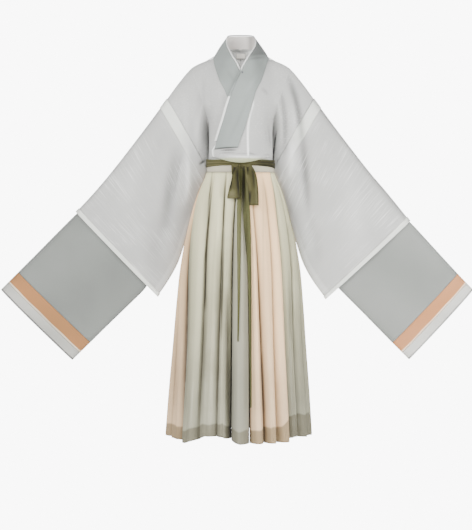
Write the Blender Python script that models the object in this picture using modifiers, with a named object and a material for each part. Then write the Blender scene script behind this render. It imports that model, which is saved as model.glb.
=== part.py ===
"""Hanfu set: a sheer crossed-collar jacket with wide jointed sleeves, tucked into a pleated skirt.

Metres, +Z up, front towards -Y, the wearer's left towards +X. The origin is between the shoulders
at the base of the neck, where the wearer's shoulders carry the set.
Every piece is a cloth wall: an open sheet of points with a Solidify modifier that thickens it inwards.
"""
import math

import bpy
import numpy as np

# ---- cloth ----
CLOTH = 0.0012           # one layer of chiffon with its backing
DOUBLE = 0.0018          # folded double: collar, waistband
SEAM = 0.0003            # gap left between two pieces at a seam
BACK_SEAM = 0.0007       # half the gap at the centre-back seam, whose walls lean together at the neck

# ---- driving sizes ----
SHOULDER_S, SHOULDER_Z = 0.168, -0.026       # outer end of the shoulder line
UNDERARM_S, UNDERARM_Z = 0.1105, -0.207
WAIST_A, WAIST_B = 0.114, 0.088              # half width and half depth outside the waistband
WAIST_DIP = 0.006                            # the waist is lower in front than behind
WAISTBAND_TOP, WAISTBAND_FOOT = -0.346, -0.379
BELT_TOP, BELT_FOOT = -0.338, -0.362
HEM_Z = -1.268
SKIRT_TOP = WAISTBAND_FOOT - 0.0006

WHITE = (0.60, 0.60, 0.585)
BAND_WHITE = (0.68, 0.685, 0.65)
GREY = (0.43, 0.45, 0.44)
CELADON = (0.40, 0.46, 0.43)
PEACH = (0.72, 0.47, 0.31)
OLIVE = (0.20, 0.21, 0.10)
CREAM = (0.60, 0.56, 0.48)
SAGE = (0.53, 0.54, 0.45)
SKIRT_PEACH = (0.74, 0.62, 0.50)
PALE_GREEN = (0.55, 0.55, 0.46)


# ---- scene ----
for old in list(bpy.data.objects):
    bpy.data.objects.remove(old, do_unlink=True)
collection = bpy.data.collections.new("hanfu_set")
bpy.context.scene.collection.children.link(collection)


# ---- curves and sheets ----
def through(at, knots, values):
    """Smooth curve through a table: cubic pieces whose slopes are the neighbours' mean slopes."""
    knots = np.asarray(knots, float)
    values = np.asarray(values, float)
    slope = np.gradient(values, knots, axis=0)
    at = np.clip(np.asarray(at, float), knots[0], knots[-1])
    i = np.clip(np.searchsorted(knots, at, side="right") - 1, 0, len(knots) - 2)
    width = knots[i + 1] - knots[i]
    t = (at - knots[i]) / width
    if values.ndim == 2:
        t = t[..., None]
        width = width[..., None]
    a, b = values[i], values[i + 1]
    da, db = slope[i] * width, slope[i + 1] * width
    return (a * (2 * t**3 - 3 * t**2 + 1) + da * (t**3 - 2 * t**2 + t)
            + b * (3 * t**2 - 2 * t**3) + db * (t**3 - t**2))


def ease(x):
    """0 below 0, 1 above 1, smooth between."""
    x = np.clip(x, 0.0, 1.0)
    return x * x * (3 - 2 * x)


def lerp(a, b, t):
    return a + (b - a) * t


def material(name, colour, roughness=0.8):
    mat = bpy.data.materials.new(name)
    mat.use_nodes = True
    shader = mat.node_tree.nodes["Principled BSDF"]
    shader.inputs["Base Color"].default_value = (*colour, 1.0)
    shader.inputs["Roughness"].default_value = roughness
    shader.inputs["Metallic"].default_value = 0.0
    mat.diffuse_color = (*colour, 1.0)
    return mat


def wall(name, points, faces, colour, thickness=CLOTH):
    """A cloth piece: the outer face as given, thickened towards its inner side."""
    mesh = bpy.data.meshes.new(name)
    mesh.from_pydata([tuple(map(float, p)) for p in points], [], faces)
    mesh.shade_smooth()
    mesh.materials.append(material(name, colour))
    piece = bpy.data.objects.new(name, mesh)
    collection.objects.link(piece)
    solid = piece.modifiers.new("cloth", "SOLIDIFY")
    solid.thickness = thickness
    solid.offset = -1.0
    solid.use_rim = True
    return piece


def loft(name, sheet, colour, thickness=CLOTH, ring=False, flip=False):
    """A sheet of rows x columns points; a ring also joins its last column to its first."""
    rows, cols = sheet.shape[:2]
    faces = []
    for r in range(rows - 1):
        for c in range(cols if ring else cols - 1):
            d = (c + 1) % cols
            quad = (r * cols + c, r * cols + d, (r + 1) * cols + d, (r + 1) * cols + c)
            faces.append(quad[::-1] if flip else quad)
    return wall(name, sheet.reshape(-1, 3), faces, colour, thickness)


# ---- jacket form: the half depth of the filled-out jacket at a place on its front or back ----
# s is the distance sideways from the middle, z the height
TOP_FOLD = np.array([  # s, z of the shoulder line and the top of the sleeve
    (0.000, 0.086), (0.030, 0.074), (0.055, 0.045), (0.079, 0.0125), (0.105, 0.004), (0.135, -0.007),
    (0.168, -0.026), (0.202, -0.065), (0.262, -0.146), (0.345, -0.255), (0.406, -0.337), (0.471, -0.418),
    (0.522, -0.473), (0.565, -0.518), (0.600, -0.556)])
SIDE = np.array([  # z, half width, half depth of the body below the arms
    (-0.320, 0.1085, 0.0985), (-0.280, 0.1085, 0.098), (-0.245, 0.1085, 0.0975), (-0.207, 0.1105, 0.097),
    (-0.150, 0.1180, 0.096), (0.100, 0.1180, 0.092)])


def top_fold(s):
    return through(s, TOP_FOLD[:, 0], TOP_FOLD[:, 1])


def chest_depth(x, z, back=False):
    """Half depth of the body: round below the arms, a rounded slope under the shoulder fold above them."""
    s = np.abs(x)
    drop = np.maximum(top_fold(s) - z, 0.0)
    reach = lerp(0.075 if back else 0.125, 0.09, ease(s / 0.16))
    rise = np.sqrt(1 - (1 - np.clip(drop / reach, 0, 1)) ** 2)
    above = 0.040 + 0.056 * (np.cos(np.pi * np.minimum(s / 0.18, 1)) + 1) / 2
    half_width = through(z, SIDE[:, 0], SIDE[:, 1])
    half_depth = through(z, SIDE[:, 0], SIDE[:, 2])
    below = half_depth * np.sqrt(np.maximum(1 - (s / half_width) ** 2, 0))
    return rise * lerp(above, below, ease((z + 0.15) / (UNDERARM_Z + 0.15)))


def lens(h):
    """Section of a hanging sleeve from its top fold (0) to its lower fold (1), fuller above."""
    return 2 * np.sqrt(np.maximum(h * (1 - h), 0)) * (1 + 0.3 * (1 - 2 * h))


# levels of the crossed layers over the right front, all outer faces
LEVEL_UNDER_COLLAR = 0.0036
LEVEL_LEFT_FRONT = 0.0064
LEVEL_COLLAR = 0.0100
LEVEL_AT_WAIST = 0.0036
BLOUSE_SINE, BLOUSE_Z = 0.1085, -0.31    # half width and height at which the levels reach the waist


def left_level(x, z):
    """How far the left front stands off the right front: full at the crossing, none at its side seam."""
    s = np.abs(x)
    full = lerp(LEVEL_LEFT_FRONT, LEVEL_AT_WAIST, ease((z + 0.255) / -0.045))
    side = np.where(x > 0, ease((0.108 - s) / 0.030), 1.0)
    return full * side * ease((top_fold(s) - z) / 0.05)


def waist_level(sine):
    """The left front's level just above the waist, at a place round it."""
    return float(left_level(np.array(sine * BLOUSE_SINE), np.array(BLOUSE_Z)))


# ---- jacket body: one cloth folded over the shoulder, with the upper sleeve cut on ----
ROW_FALL = (0.0, 0.03, 0.12, 0.28, 0.48, 0.68, 0.86, 0.96, 1.0)     # fold to underarm, as fractions
FRONT_EDGE = np.array([  # s, z of the front opening or seam, a row for each row of the cloth
    (0.0790, 0.0125), (0.0770, 0.0060), (0.0730, -0.0120), (0.0660, -0.0450), (0.0520, -0.0900),
    (0.0435, -0.1300), (0.0365, -0.1700), (0.0290, -0.2000), (0.0258, -0.2150), (0.0255, -0.2480),
    (0.0255, -0.2800)])
BACK_EDGE = np.array([  # s, z of the back neck and the centre-back seam
    (0.0790, 0.0125), (0.0620, 0.0340), (0.0350, 0.0495), (BACK_SEAM, 0.0520), (BACK_SEAM, 0.0150),
    (BACK_SEAM, -0.0700), (BACK_SEAM, -0.1400), (BACK_SEAM, -0.1850), (BACK_SEAM, -0.2100),
    (BACK_SEAM, -0.2480), (BACK_SEAM, -0.2800)])
SIDE_ROWS = (-0.245, -0.280)             # side seam below the underarm
BLOUSE = np.array([  # stand-off from the waistband: front, sides; height: front, sides; outward share of a level
    (0.0105, -0.0055, -0.3080, -0.3020, 1.0), (0.0125, -0.0055, -0.3260, -0.3100, 1.0),
    (0.0120, -0.0052, -0.3390, -0.3160, 0.8), (0.0098, -0.0050, -0.3450, -0.3200, 0.2),
    (0.0074, -0.0050, -0.3410, -0.3240, -0.6), (0.0060, -0.0050, -0.3290, -0.3270, 0.0),
    (0.0015, -0.0050, -0.3220, -0.3300, 0.0), (-0.0046, -0.0050, -0.3270, -0.3330, 0.0),
    (-0.0050, -0.0050, -0.3500, -0.3500, 0.0), (-0.0050, -0.0050, -0.4000, -0.4000, 0.0)])
BLOUSE_TURN = (2, 3, 4)                  # the rows round the lower turn, where a level also drops
TORSO_COLS = 7
SLEEVE_COLS = 5
INNER_FOLD = np.array([  # s, z, y of the lower fold of the upper sleeve, underarm to sleeve joint
    (0.1105, -0.207, 0.000), (0.1090, -0.245, 0.018), (0.1095, -0.290, 0.022), (0.1155, -0.330, 0.022),
    (0.1195, -0.365, 0.022)])
JOINT_TOP_S = 0.2500
JOINT_DEPTH = 0.034


def blouse_point(sine, row, back, level=0.0):
    """A point of the bloused waist: the cloth hangs over the belt in front and runs straight in at the sides."""
    front_off, side_off, front_z, side_z, outward = BLOUSE[row]
    cosine = np.sqrt(np.maximum(1 - sine**2, 0))
    fullness = cosine**1.5 * (0.75 if back else 1.0)
    off = lerp(side_off, front_off, fullness)
    z = lerp(side_z, front_z, fullness**2.6)
    off = off + level * outward
    if row in BLOUSE_TURN:
        z = z - level * math.sqrt(1 - outward**2)
    z = z + WAIST_DIP * cosine * (1 if back else -1)
    x = (WAIST_A + off) * sine
    y = (WAIST_B + off) * cosine * (1 if back else -1)
    return np.array([x, y, z])


def body_front_back(hand, back):
    """Rows from the shoulder fold to the tail, columns from the middle to the side; hand is +1 for the left."""
    columns = np.sin(np.linspace(0, math.pi / 2, TORSO_COLS + 1))
    edge = BACK_EDGE if back else FRONT_EDGE
    rows = []
    for r, (edge_s, edge_z) in enumerate(edge):
        if r < len(ROW_FALL):
            side_s = lerp(SHOULDER_S, UNDERARM_S, ROW_FALL[r])
            side_z = lerp(SHOULDER_Z, UNDERARM_Z, ROW_FALL[r])
        else:
            side_z = SIDE_ROWS[r - len(ROW_FALL)]
            side_s = float(through(side_z, SIDE[:, 0], SIDE[:, 1]))
        s = lerp(edge_s, side_s, columns)
        z = lerp(edge_z, side_z, columns)
        if r == 0:
            z = top_fold(s)
            depth = np.zeros_like(s)
        else:
            depth = chest_depth(s, z, back)
            if hand > 0 and not back:
                depth = depth + left_level(s, z)
            if r >= len(ROW_FALL) - 1:
                depth[-1] = 0.0
        rows.append(np.stack([hand * s, depth if back else -depth, z], axis=1))
    edge_sine = edge[-1][0] / WAIST_A
    sine = lerp(edge_sine, 1.0, columns)
    for r in range(len(BLOUSE)):
        row = []
        for value in sine:
            level = 0.0
            if hand > 0 and not back:
                level = waist_level(value)
            p = blouse_point(value, r, back, level)
            row.append((hand * p[0], p[1] * (value < 1), p[2]))
        rows.append(np.array(row))
    return rows


def body(name, hand):
    """Front and back of one half of the jacket with its upper sleeve, welded along side and underarm."""
    points = []
    index = {}

    def vertex(key, place):
        if key not in index:
            index[key] = len(points)
            points.append(place)
        return index[key]

    faces = []
    fall = np.array(ROW_FALL)
    for back in (False, True):
        rows = body_front_back(hand, back)
        ids = []
        last_shared = len(fall) - 1
        for r, row in enumerate(rows):
            line = []
            for c, place in enumerate(row):
                shared = r == 0 or (c == TORSO_COLS and r >= last_shared)
                line.append(vertex(("torso", r, c, None if shared else back), place))
            if r < len(fall):
                arm = abs(row[-1][1])
                for e in range(1, SLEEVE_COLS + 1):
                    along = e / SLEEVE_COLS
                    top_s = lerp(SHOULDER_S, JOINT_TOP_S, along)
                    top = np.array([top_s, float(top_fold(top_s))])
                    low = through(along, np.linspace(0, 1, len(INNER_FOLD)), INNER_FOLD)
                    s, z = lerp(top, low[:2], fall[r])
                    depth = lerp(arm, JOINT_DEPTH * float(lens(fall[r])), float(ease(along)))
                    shared = r in (0, last_shared)
                    y = 0.0 if shared else depth * (1 if back else -1)
                    y += low[2] * fall[r] ** 1.5
                    line.append(vertex(("sleeve", r, e, None if shared else back), (hand * s, y, z)))
            ids.append(line)
        for r in range(len(ids) - 1):
            for c in range(min(len(ids[r]), len(ids[r + 1])) - 1):
                quad = (ids[r][c], ids[r + 1][c], ids[r + 1][c + 1], ids[r][c + 1])
                flip = (hand > 0) == back
                faces.append(quad[::-1] if flip else quad)
    return wall(name, points, faces, WHITE)


def overlap(name, hand, far_edge, foot_row):
    """The extension sewn on the centre-front seam, reaching across to its far edge."""
    start = 5
    rows = []
    for r in range(start, len(FRONT_EDGE)):
        seam_s, z = FRONT_EDGE[r]
        far = float(through(-z, far_edge[:, 0], far_edge[:, 1]))
        x = np.linspace(seam_s - SEAM, -far, 6)
        level = left_level(x, np.full(6, z)) if hand > 0 else 0.0
        y = -(chest_depth(x, np.full(6, z)) + level)
        rows.append(np.stack([hand * x, y, np.full(6, z)], axis=1))
    seam_sine = (FRONT_EDGE[-1][0] - SEAM) / WAIST_A
    for r in range(foot_row):
        row = []
        for value in np.linspace(seam_sine, -far_edge[-1][1] / WAIST_A, 6):
            level = waist_level(value) if hand > 0 else 0.0
            p = blouse_point(abs(value), r, False, level)
            row.append((hand * math.copysign(p[0], value), p[1], p[2]))
        rows.append(np.array(row))
    return loft(name, np.array(rows), WHITE, flip=hand < 0)


LEFT_OVERLAP_EDGE = np.array([(0.130, 0.024), (0.220, 0.056), (0.300, 0.082), (0.345, 0.090)])
RIGHT_OVERLAP_EDGE = np.array([(0.130, 0.000), (0.220, 0.030), (0.280, 0.062)])
body("body_right", -1)
body("body_left", 1)
overlap("overlap_left", 1, LEFT_OVERLAP_EDGE, 4)
overlap("overlap_right", -1, RIGHT_OVERLAP_EDGE, 0)


# ---- sleeves ----
SLEEVE = [  # top s, z; lower fold s, z; half depth; how far the lower fold swings back
    (0.2500, -0.1295, 0.1195, -0.365, 0.034, 0.022), (0.281, -0.171, 0.1430, -0.434, 0.0335, 0.021),
    (0.312, -0.213, 0.1722, -0.536, 0.033, 0.019), (0.375, -0.296, 0.1895, -0.612, 0.032, 0.017),
    (0.440, -0.379, 0.2120, -0.684, 0.030, 0.012), (0.502, -0.452, 0.2440, -0.744, 0.028, 0.005)]
SLEEVE_STATIONS = {  # the left sleeve is a little longer and its cuff shorter
    "left": np.array(SLEEVE + [(0.5763, -0.5440, 0.2907, -0.8092, 0.026, 0.000)]),
    "right": np.array(SLEEVE + [(0.5593, -0.5134, 0.2820, -0.8005, 0.026, 0.000)])}
CUFF_STATIONS = {
    "left": np.array([
        (0.5600, -0.5340, 0.3270, -0.7660, 0.018, 0.0), (0.5850, -0.5560, 0.3480, -0.7880, 0.0195, 0.0),
        (0.6360, -0.6110, 0.4040, -0.8440, 0.021, 0.0), (0.6880, -0.6680, 0.4610, -0.9020, 0.021, 0.0),
        (0.7390, -0.7230, 0.5170, -0.9590, 0.021, 0.0), (0.7905, -0.7770, 0.5729, -1.0146, 0.021, 0.0)]),
    "right": np.array([
        (0.5440, -0.5060, 0.3130, -0.7560, 0.018, 0.0), (0.5690, -0.5300, 0.3310, -0.7815, 0.0195, 0.0),
        (0.6330, -0.5940, 0.3890, -0.8385, 0.021, 0.0), (0.6970, -0.6590, 0.4510, -0.8985, 0.021, 0.0),
        (0.7560, -0.7180, 0.5110, -0.9575, 0.021, 0.0), (0.8143, -0.7766, 0.5715, -1.0166, 0.021, 0.0)])}
SLEEVE_START, SLEEVE_BAND_AT, JOINT_BAND = 0.0035, 0.9585, (0.0055, 0.125)
CUFF_FOOT, STRIPE, END_BAND = 0.8114, (0.813, 0.9094), (0.911, 1.0)
RING = 26


def ring_fractions():
    """Places round the sleeve: half to the front, half to the back, closer together at the two folds."""
    half = RING // 2
    even = np.arange(half + 1) / half
    h = 0.5 * even + 0.25 * (1 - np.cos(np.pi * even))
    down = [(v, -1) for v in h[:-1]]
    up = [(v, 1) for v in h[::-1][:-1]]
    return down + up


def sleeve_ring(stations, place, hand, out=0.0):
    """One ring of a sleeve at a place from 0 to 1 along its stations, moved out square to its face."""
    row = through(np.array(place), np.linspace(0, 1, len(stations)), stations)
    top, low, depth, swing = row[0:2], row[2:4], row[4], row[5]
    length = float(np.hypot(*(low - top)))
    along = (low - top) / length
    flat = np.array([(h * length, side * depth * float(lens(h))) for h, side in ring_fractions()])
    if out:
        step = np.roll(flat, -1, axis=0) - np.roll(flat, 1, axis=0)
        normal = np.stack([step[:, 1], -step[:, 0]], axis=1)
        normal /= np.linalg.norm(normal, axis=1)[:, None]
        middle = flat.mean(axis=0)
        if np.mean(np.sum(normal * (flat - middle), axis=1)) < 0:
            normal = -normal
        flat = flat + normal * out
    ring = np.empty((RING, 3))
    ring[:, 0] = hand * (top[0] + along[0] * flat[:, 0])
    ring[:, 1] = flat[:, 1] + swing * np.clip(flat[:, 0] / length, 0, 1) ** 1.5
    ring[:, 2] = top[1] + along[1] * flat[:, 0]
    return ring


def tube(name, stations, places, hand, colour, out=0.0, thickness=CLOTH):
    sheet = np.array([sleeve_ring(stations, p, hand, out) for p in places])
    return loft(name, sheet, colour, thickness, ring=True, flip=hand < 0)


BAND_OUT, BAND_CLOTH = 0.0022, 0.0010
for side_name, hand in (("right", -1), ("left", 1)):
    stations, cuff = SLEEVE_STATIONS[side_name], CUFF_STATIONS[side_name]
    rings = (SLEEVE_START, JOINT_BAND[1], 0.21, 0.35, 0.5, 0.667, 0.833, SLEEVE_BAND_AT, 1.0)
    tube("sleeve_" + side_name, stations, rings, hand, WHITE)
    tube("joint_band_" + side_name, stations, JOINT_BAND, hand, BAND_WHITE, BAND_OUT, BAND_CLOTH)
    tube("sleeve_band_" + side_name, stations, (SLEEVE_BAND_AT, 1.0), hand, BAND_WHITE, BAND_OUT, BAND_CLOTH)
    tube("cuff_" + side_name, cuff, (0.0, 0.2, 0.4, 0.6, CUFF_FOOT), hand, GREY)
    tube("cuff_stripe_" + side_name, cuff, STRIPE, hand, PEACH)
    tube("cuff_end_" + side_name, cuff, END_BAND, hand, BAND_WHITE)


# ---- collar: one band from the hidden right end, round the neck, to the left end over the chest ----
NECK_COLLAR = np.array([  # outer edge x, y, z; inner edge x, y, z; from the centre back round to the throat
    (0.0000, 0.0865, 0.0400, 0.0000, 0.0640, 0.0980), (0.0300, 0.0822, 0.0370, 0.0220, 0.0580, 0.0965),
    (0.0600, 0.0590, 0.0310, 0.0385, 0.0410, 0.0920), (0.0800, 0.0300, 0.0260, 0.0465, 0.0180, 0.0840),
    (0.0875, -0.0020, 0.0205, 0.0480, -0.0080, 0.0700), (0.0905, -0.0330, 0.0105, 0.0465, -0.0280, 0.0470)])
CHEST_COLLAR = np.array([  # outer edge x, z; inner edge x, z; from the throat down over the chest
    (0.0885, -0.0200, 0.0330, 0.0060), (0.0800, -0.0500, 0.0150, -0.0250), (0.0683, -0.0838, 0.0020, -0.0520),
    (0.0520, -0.1150, -0.0130, -0.0850), (0.0420, -0.1480, -0.0280, -0.1200), (0.0330, -0.1800, -0.0420, -0.1600),
    (0.0240, -0.2100, -0.0540, -0.2000), (0.0130, -0.2450, -0.0680, -0.2420), (0.0000, -0.2780, -0.0800, -0.2800),
    (-0.0100, -0.3060, -0.0880, -0.3080)])
UNDER_COLLAR_ROWS = 8
BAND_COLS = 5
EDGING_GAP = 0.0008
EDGING_NECK, EDGING_CHEST = 0.0035, 0.0075


def chest_collar_row(edge, level, across):
    """A strip of points across the band, lying on the chest at its level."""
    out_x, out_z, in_x, in_z = edge
    x = lerp(out_x, in_x, across)
    z = lerp(out_z, in_z, across)
    return np.stack([x, -(chest_depth(x, z) + level), z], axis=1)


def neck_collar_row(edge, grow, across):
    """A strip across the standing part, rounded out a little in its middle."""
    outer, inner = edge[:3], edge[3:]
    out = np.array([outer[0], outer[1], 0.0])
    out = out / np.linalg.norm(out)
    bulge = 0.005 * np.sin(np.pi * np.clip(across, 0, 1)) + grow
    return lerp(outer, inner, across[:, None]) + out * bulge[:, None]


def collar_half(level, last, edging=False):
    """Rows from the centre back to one end; the edging is a narrow strip just past the inner edge."""
    rows = []
    lower = level - LEVEL_UNDER_COLLAR
    for i, edge in enumerate(NECK_COLLAR):
        across = np.linspace(0, 1, BAND_COLS)
        if edging:
            width = float(np.linalg.norm(edge[:3] - edge[3:]))
            across = 1 + np.array([EDGING_GAP, EDGING_GAP + EDGING_NECK]) / width
        rows.append(neck_collar_row(edge, 0.0012 + lower * (i / len(NECK_COLLAR)) ** 2, across))
    for i, edge in enumerate(CHEST_COLLAR[:last]):
        rise = lerp(0.0042 + lower, level, float(ease(i / 4)))
        if i == len(CHEST_COLLAR) - 2:
            rise = level - 0.0006
        if i == len(CHEST_COLLAR) - 1:
            rise = LEVEL_AT_WAIST + 0.0060
        across = np.linspace(0, 1, BAND_COLS)
        if edging:
            width = float(np.hypot(edge[0] - edge[2], edge[1] - edge[3]))
            strip = lerp(EDGING_NECK, EDGING_CHEST, float(ease((i - 2) / 3))) if lower else EDGING_NECK
            across = 1 + np.array([EDGING_GAP, EDGING_GAP + strip]) / width
        rows.append(chest_collar_row(edge, rise, across))
    return np.array(rows)


def collar(name, colour, thickness, edging):
    left = collar_half(LEVEL_COLLAR, len(CHEST_COLLAR) - edging, edging)
    right = collar_half(LEVEL_UNDER_COLLAR, UNDER_COLLAR_ROWS, edging) * np.array([-1.0, 1.0, 1.0])
    return loft(name, np.concatenate([right[:0:-1], left]), colour, thickness)


collar("collar", CELADON, DOUBLE, False)
collar("collar_edging", BAND_WHITE, CLOTH, True)


# ---- neck label and press stud ----
LABEL_LEFT, LABEL_RIGHT, LABEL_FOOT, LABEL_TOP = -0.016, 0.018, 0.017, 0.037
LABEL_CLOTH = 0.0006
LABEL_Y = 0.0795         # the label hangs from the collar seam, just clear of the back
STUD_X, STUD_Z, STUD_R, STUD_T = 0.0055, -0.057, 0.0034, 0.0018


def neck_label():
    x, z = np.meshgrid(np.linspace(LABEL_LEFT, LABEL_RIGHT, 5), np.linspace(LABEL_TOP, LABEL_FOOT, 3))
    y = LABEL_Y - 4.0 * x**2
    return loft("neck_label", np.stack([x, y, z], axis=2), CREAM, LABEL_CLOTH, flip=True)


def snap():
    y = -(float(chest_depth(np.array(STUD_X), np.array(STUD_Z))) + LEVEL_COLLAR + 0.0022)
    bpy.ops.mesh.primitive_cylinder_add(vertices=20, radius=STUD_R, depth=STUD_T,
                                        location=(STUD_X, y, STUD_Z), rotation=(math.pi / 2, 0, 0))
    stud = bpy.context.object
    stud.name = "snap"
    stud.data.materials.append(material("snap", (0.05, 0.05, 0.05), 0.4))
    for owner in list(stud.users_collection):
        owner.objects.unlink(stud)
    collection.objects.link(stud)


neck_label()
snap()


# ---- waistband and belt: rings round the waist ----
WAIST_COLS = 48


def waist_ring(off, z):
    """A ring round the waist at a stand-off from the waistband's face, lower in front than behind."""
    angle = np.linspace(0, 2 * np.pi, WAIST_COLS, endpoint=False)
    x = (WAIST_A + off) * np.sin(angle)
    y = -(WAIST_B + off) * np.cos(angle)
    return np.stack([x, y, z - WAIST_DIP * np.cos(angle)], axis=1)


BELT_OUT = 0.0028
loft("skirt_waistband", np.array([waist_ring(0, WAISTBAND_FOOT), waist_ring(0, WAISTBAND_TOP)]), CREAM, DOUBLE, True)
loft("belt", np.array([waist_ring(BELT_OUT, BELT_FOOT), waist_ring(BELT_OUT, BELT_TOP)]), OLIVE, 0.0014, True)


# ---- skirt: pleated panels that open from the waistband into soft flutes ----
SKIRT_FORM = np.array([  # z, half width, half depth of the folds' inner line
    (-0.380, 0.1135, 0.0875), (-0.396, 0.1190, 0.0945), (-0.432, 0.1345, 0.1065), (-0.472, 0.1480, 0.1170),
    (-0.540, 0.1660, 0.1300), (-0.626, 0.1840, 0.1430), (-0.700, 0.1950, 0.1520), (-0.826, 0.2050, 0.1640),
    (-0.962, 0.2130, 0.1750), (-1.125, 0.2235, 0.1870), (-1.268, 0.2310, 0.1970)])
FLUTES = [  # angle of the fold's start at waist, at hem, how soon it gets there; crest, start valley, lift; panel
    (-104, -92.0, 1.5, 0.014, 0.004, 0.000, "left_peach"), (-92, -73.0, 1.5, 0.014, 0.004, 0.002, "left_peach"),
    (-80, -53.0, 1.5, 0.022, 0.004, -0.006, "front_sage"), (-50, -35.5, 8.0, 0.012, 0.010, 0.020, "front_sage"),
    (-24, -18.5, 8.0, 0.012, 0.004, 0.020, "front_sage"), (-4, -8.0, 8.0, 0.030, 0.045, 0.000, "front_green"),
    (5, 8.6, 3.0, 0.026, 0.008, 0.000, "front_peach"), (14.5, 20.3, 1.3, 0.030, 0.008, 0.000, "front_peach"),
    (38, 30.5, 4.0, 0.028, 0.003, 0.000, "front_peach"), (62, 44.0, 8.0, 0.012, 0.014, 0.012, "right_sage"),
    (75, 55.0, 3.0, 0.018, 0.006, 0.006, "right_sage"), (88, 70.0, 2.0, 0.014, 0.006, 0.004, "right_sage"),
    (101, 87.0, 2.0, 0.014, 0.004, 0.000, "back_right_peach"),
    (115, 105.0, 2.0, 0.018, 0.006, 0.000, "back_right_peach"), 
    (131, 122.0, 2.0, 0.024, 0.012, -0.004, "back_right_peach"),
    (148, 140.0, 2.0, 0.020, 0.006, 0.000, "back_green"), (164, 157.0, 2.0, 0.026, 0.010, 0.000, "back_green"),
    (180, 174.0, 2.0, 0.022, 0.012, 0.002, "back_green"), (196, 192.0, 2.0, 0.026, 0.006, 0.000, "back_sage"),
    (213, 210.0, 2.0, 0.020, 0.012, 0.000, "back_sage"), (228, 228.0, 2.0, 0.024, 0.008, -0.003, "back_sage"),
    (242, 248.0, 2.0, 0.018, 0.006, 0.000, "back_sage")]
PANEL_COLOURS = {"peach": SKIRT_PEACH, "sage": SAGE, "green": PALE_GREEN}
FLUTE_COLS = 6
SKIRT_ROWS = (0.0, 0.02, 0.06, 0.13, 0.24, 0.38, 0.54, 0.70, 0.86, 1.0)
PLEAT_DEPTH = 0.0026     # relief of a pleat where it is sewn into the waistband
PANEL_SEAM = 0.0004      # half the gap between two panels
SKIRT_LEAN = -0.005      # the hem hangs a little to the right-hand side
LINING_GAP = 0.005       # lining inside the folds at the waistband, and how much more at the hem
LINING_EASE = 0.013
LINING_DENT = 0.036      # pushed in behind the deep fold of the front
LINING_DENT_AT = math.radians(-7)
LINING_COLS = 36
LINING_ROWS = (0.012, 0.07, 0.20, 0.50, 0.95)      # it ends short of the hem by the sheer border


def flute_table(column):
    """One column of the flute table with the first fold repeated a full turn on."""
    values = [row[column] for row in FLUTES]
    extra = 360 if column < 2 else 0
    return np.array(values + [values[0] + extra], float)


def skirt_point(u, v, seam=0.0):
    """Place on the skirt: u counts flutes round from the left side, v runs from waistband to hem."""
    count = len(FLUTES)
    i = np.clip(np.floor(u).astype(int), 0, count - 1)
    p = u - i
    v = np.full_like(u, v)
    begin, finish = (lerp(flute_table(0)[k], flute_table(1)[k], 1 - (1 - v) ** flute_table(2)[k]) for k in (i, i + 1))
    angle = np.radians(lerp(begin, finish, p))
    skew = lerp(0.6, 1.0, ease(v / 0.35))
    bump = np.sin(np.pi * p**skew) ** 0.8
    crest = PLEAT_DEPTH + flute_table(3)[i] * v
    valley = np.where(p < 0.5, flute_table(4)[i], flute_table(4)[i + 1]) * v
    lifts = np.concatenate([[FLUTES[-1][5]], flute_table(5)])
    lift = np.interp(u, np.arange(count + 2) - 0.5, lifts)
    z = lerp(SKIRT_TOP, HEM_Z + lift, v)
    off = crest * bump - valley * (1 - bump) ** 1.5
    half_width = through(z, SKIRT_FORM[::-1, 0], SKIRT_FORM[::-1, 1]) + off
    half_depth = through(z, SKIRT_FORM[::-1, 0], SKIRT_FORM[::-1, 2]) + off
    angle = angle + seam / half_width
    dip = WAIST_DIP * (1 - ease(v / 0.3))
    x = half_width * np.sin(angle) + SKIRT_LEAN * v
    return np.stack([x, -half_depth * np.cos(angle), z - dip * np.cos(angle)], axis=-1)


def skirt_panel(panel):
    """The flutes of one colour, sewn to its neighbours in the valleys."""
    mine = [i for i, row in enumerate(FLUTES) if row[6] == panel]
    u = np.linspace(mine[0], mine[-1] + 1, FLUTE_COLS * len(mine) + 1)
    u[-1] -= 1e-6
    seam = np.zeros_like(u)
    seam[0], seam[-1] = PANEL_SEAM, -PANEL_SEAM
    sheet = np.array([skirt_point(u, v, seam) for v in SKIRT_ROWS])
    return loft("skirt_" + panel, sheet[::-1], PANEL_COLOURS[panel.split("_")[-1]])


def skirt_lining():
    """A plain tube inside the folds, shorter than the chiffon by the depth of its sheer border."""
    angle = np.linspace(0, 2 * np.pi, LINING_COLS, endpoint=False)
    from_deep = np.degrees(np.arctan2(np.sin(angle - LINING_DENT_AT), np.cos(angle - LINING_DENT_AT)))
    dent = LINING_DENT * np.exp(-(from_deep / 14) ** 2)
    rows = []
    for v in LINING_ROWS:
        z = np.full(LINING_COLS, lerp(SKIRT_TOP, HEM_Z, v))
        off = -LINING_GAP - (LINING_EASE + dent) * v
        half_width = through(z, SKIRT_FORM[::-1, 0], SKIRT_FORM[::-1, 1]) + off
        half_depth = through(z, SKIRT_FORM[::-1, 0], SKIRT_FORM[::-1, 2]) + off
        dip = WAIST_DIP * (1 - float(ease(v / 0.3)))
        x = half_width * np.sin(angle) + SKIRT_LEAN * v
        rows.append(np.stack([x, -half_depth * np.cos(angle), z - dip * np.cos(angle)], axis=1))
    return loft("skirt_lining", np.array(rows[::-1]), CREAM, CLOTH, True)


for panel in dict.fromkeys(row[6] for row in FLUTES):
    skirt_panel(panel)
skirt_lining()


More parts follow.
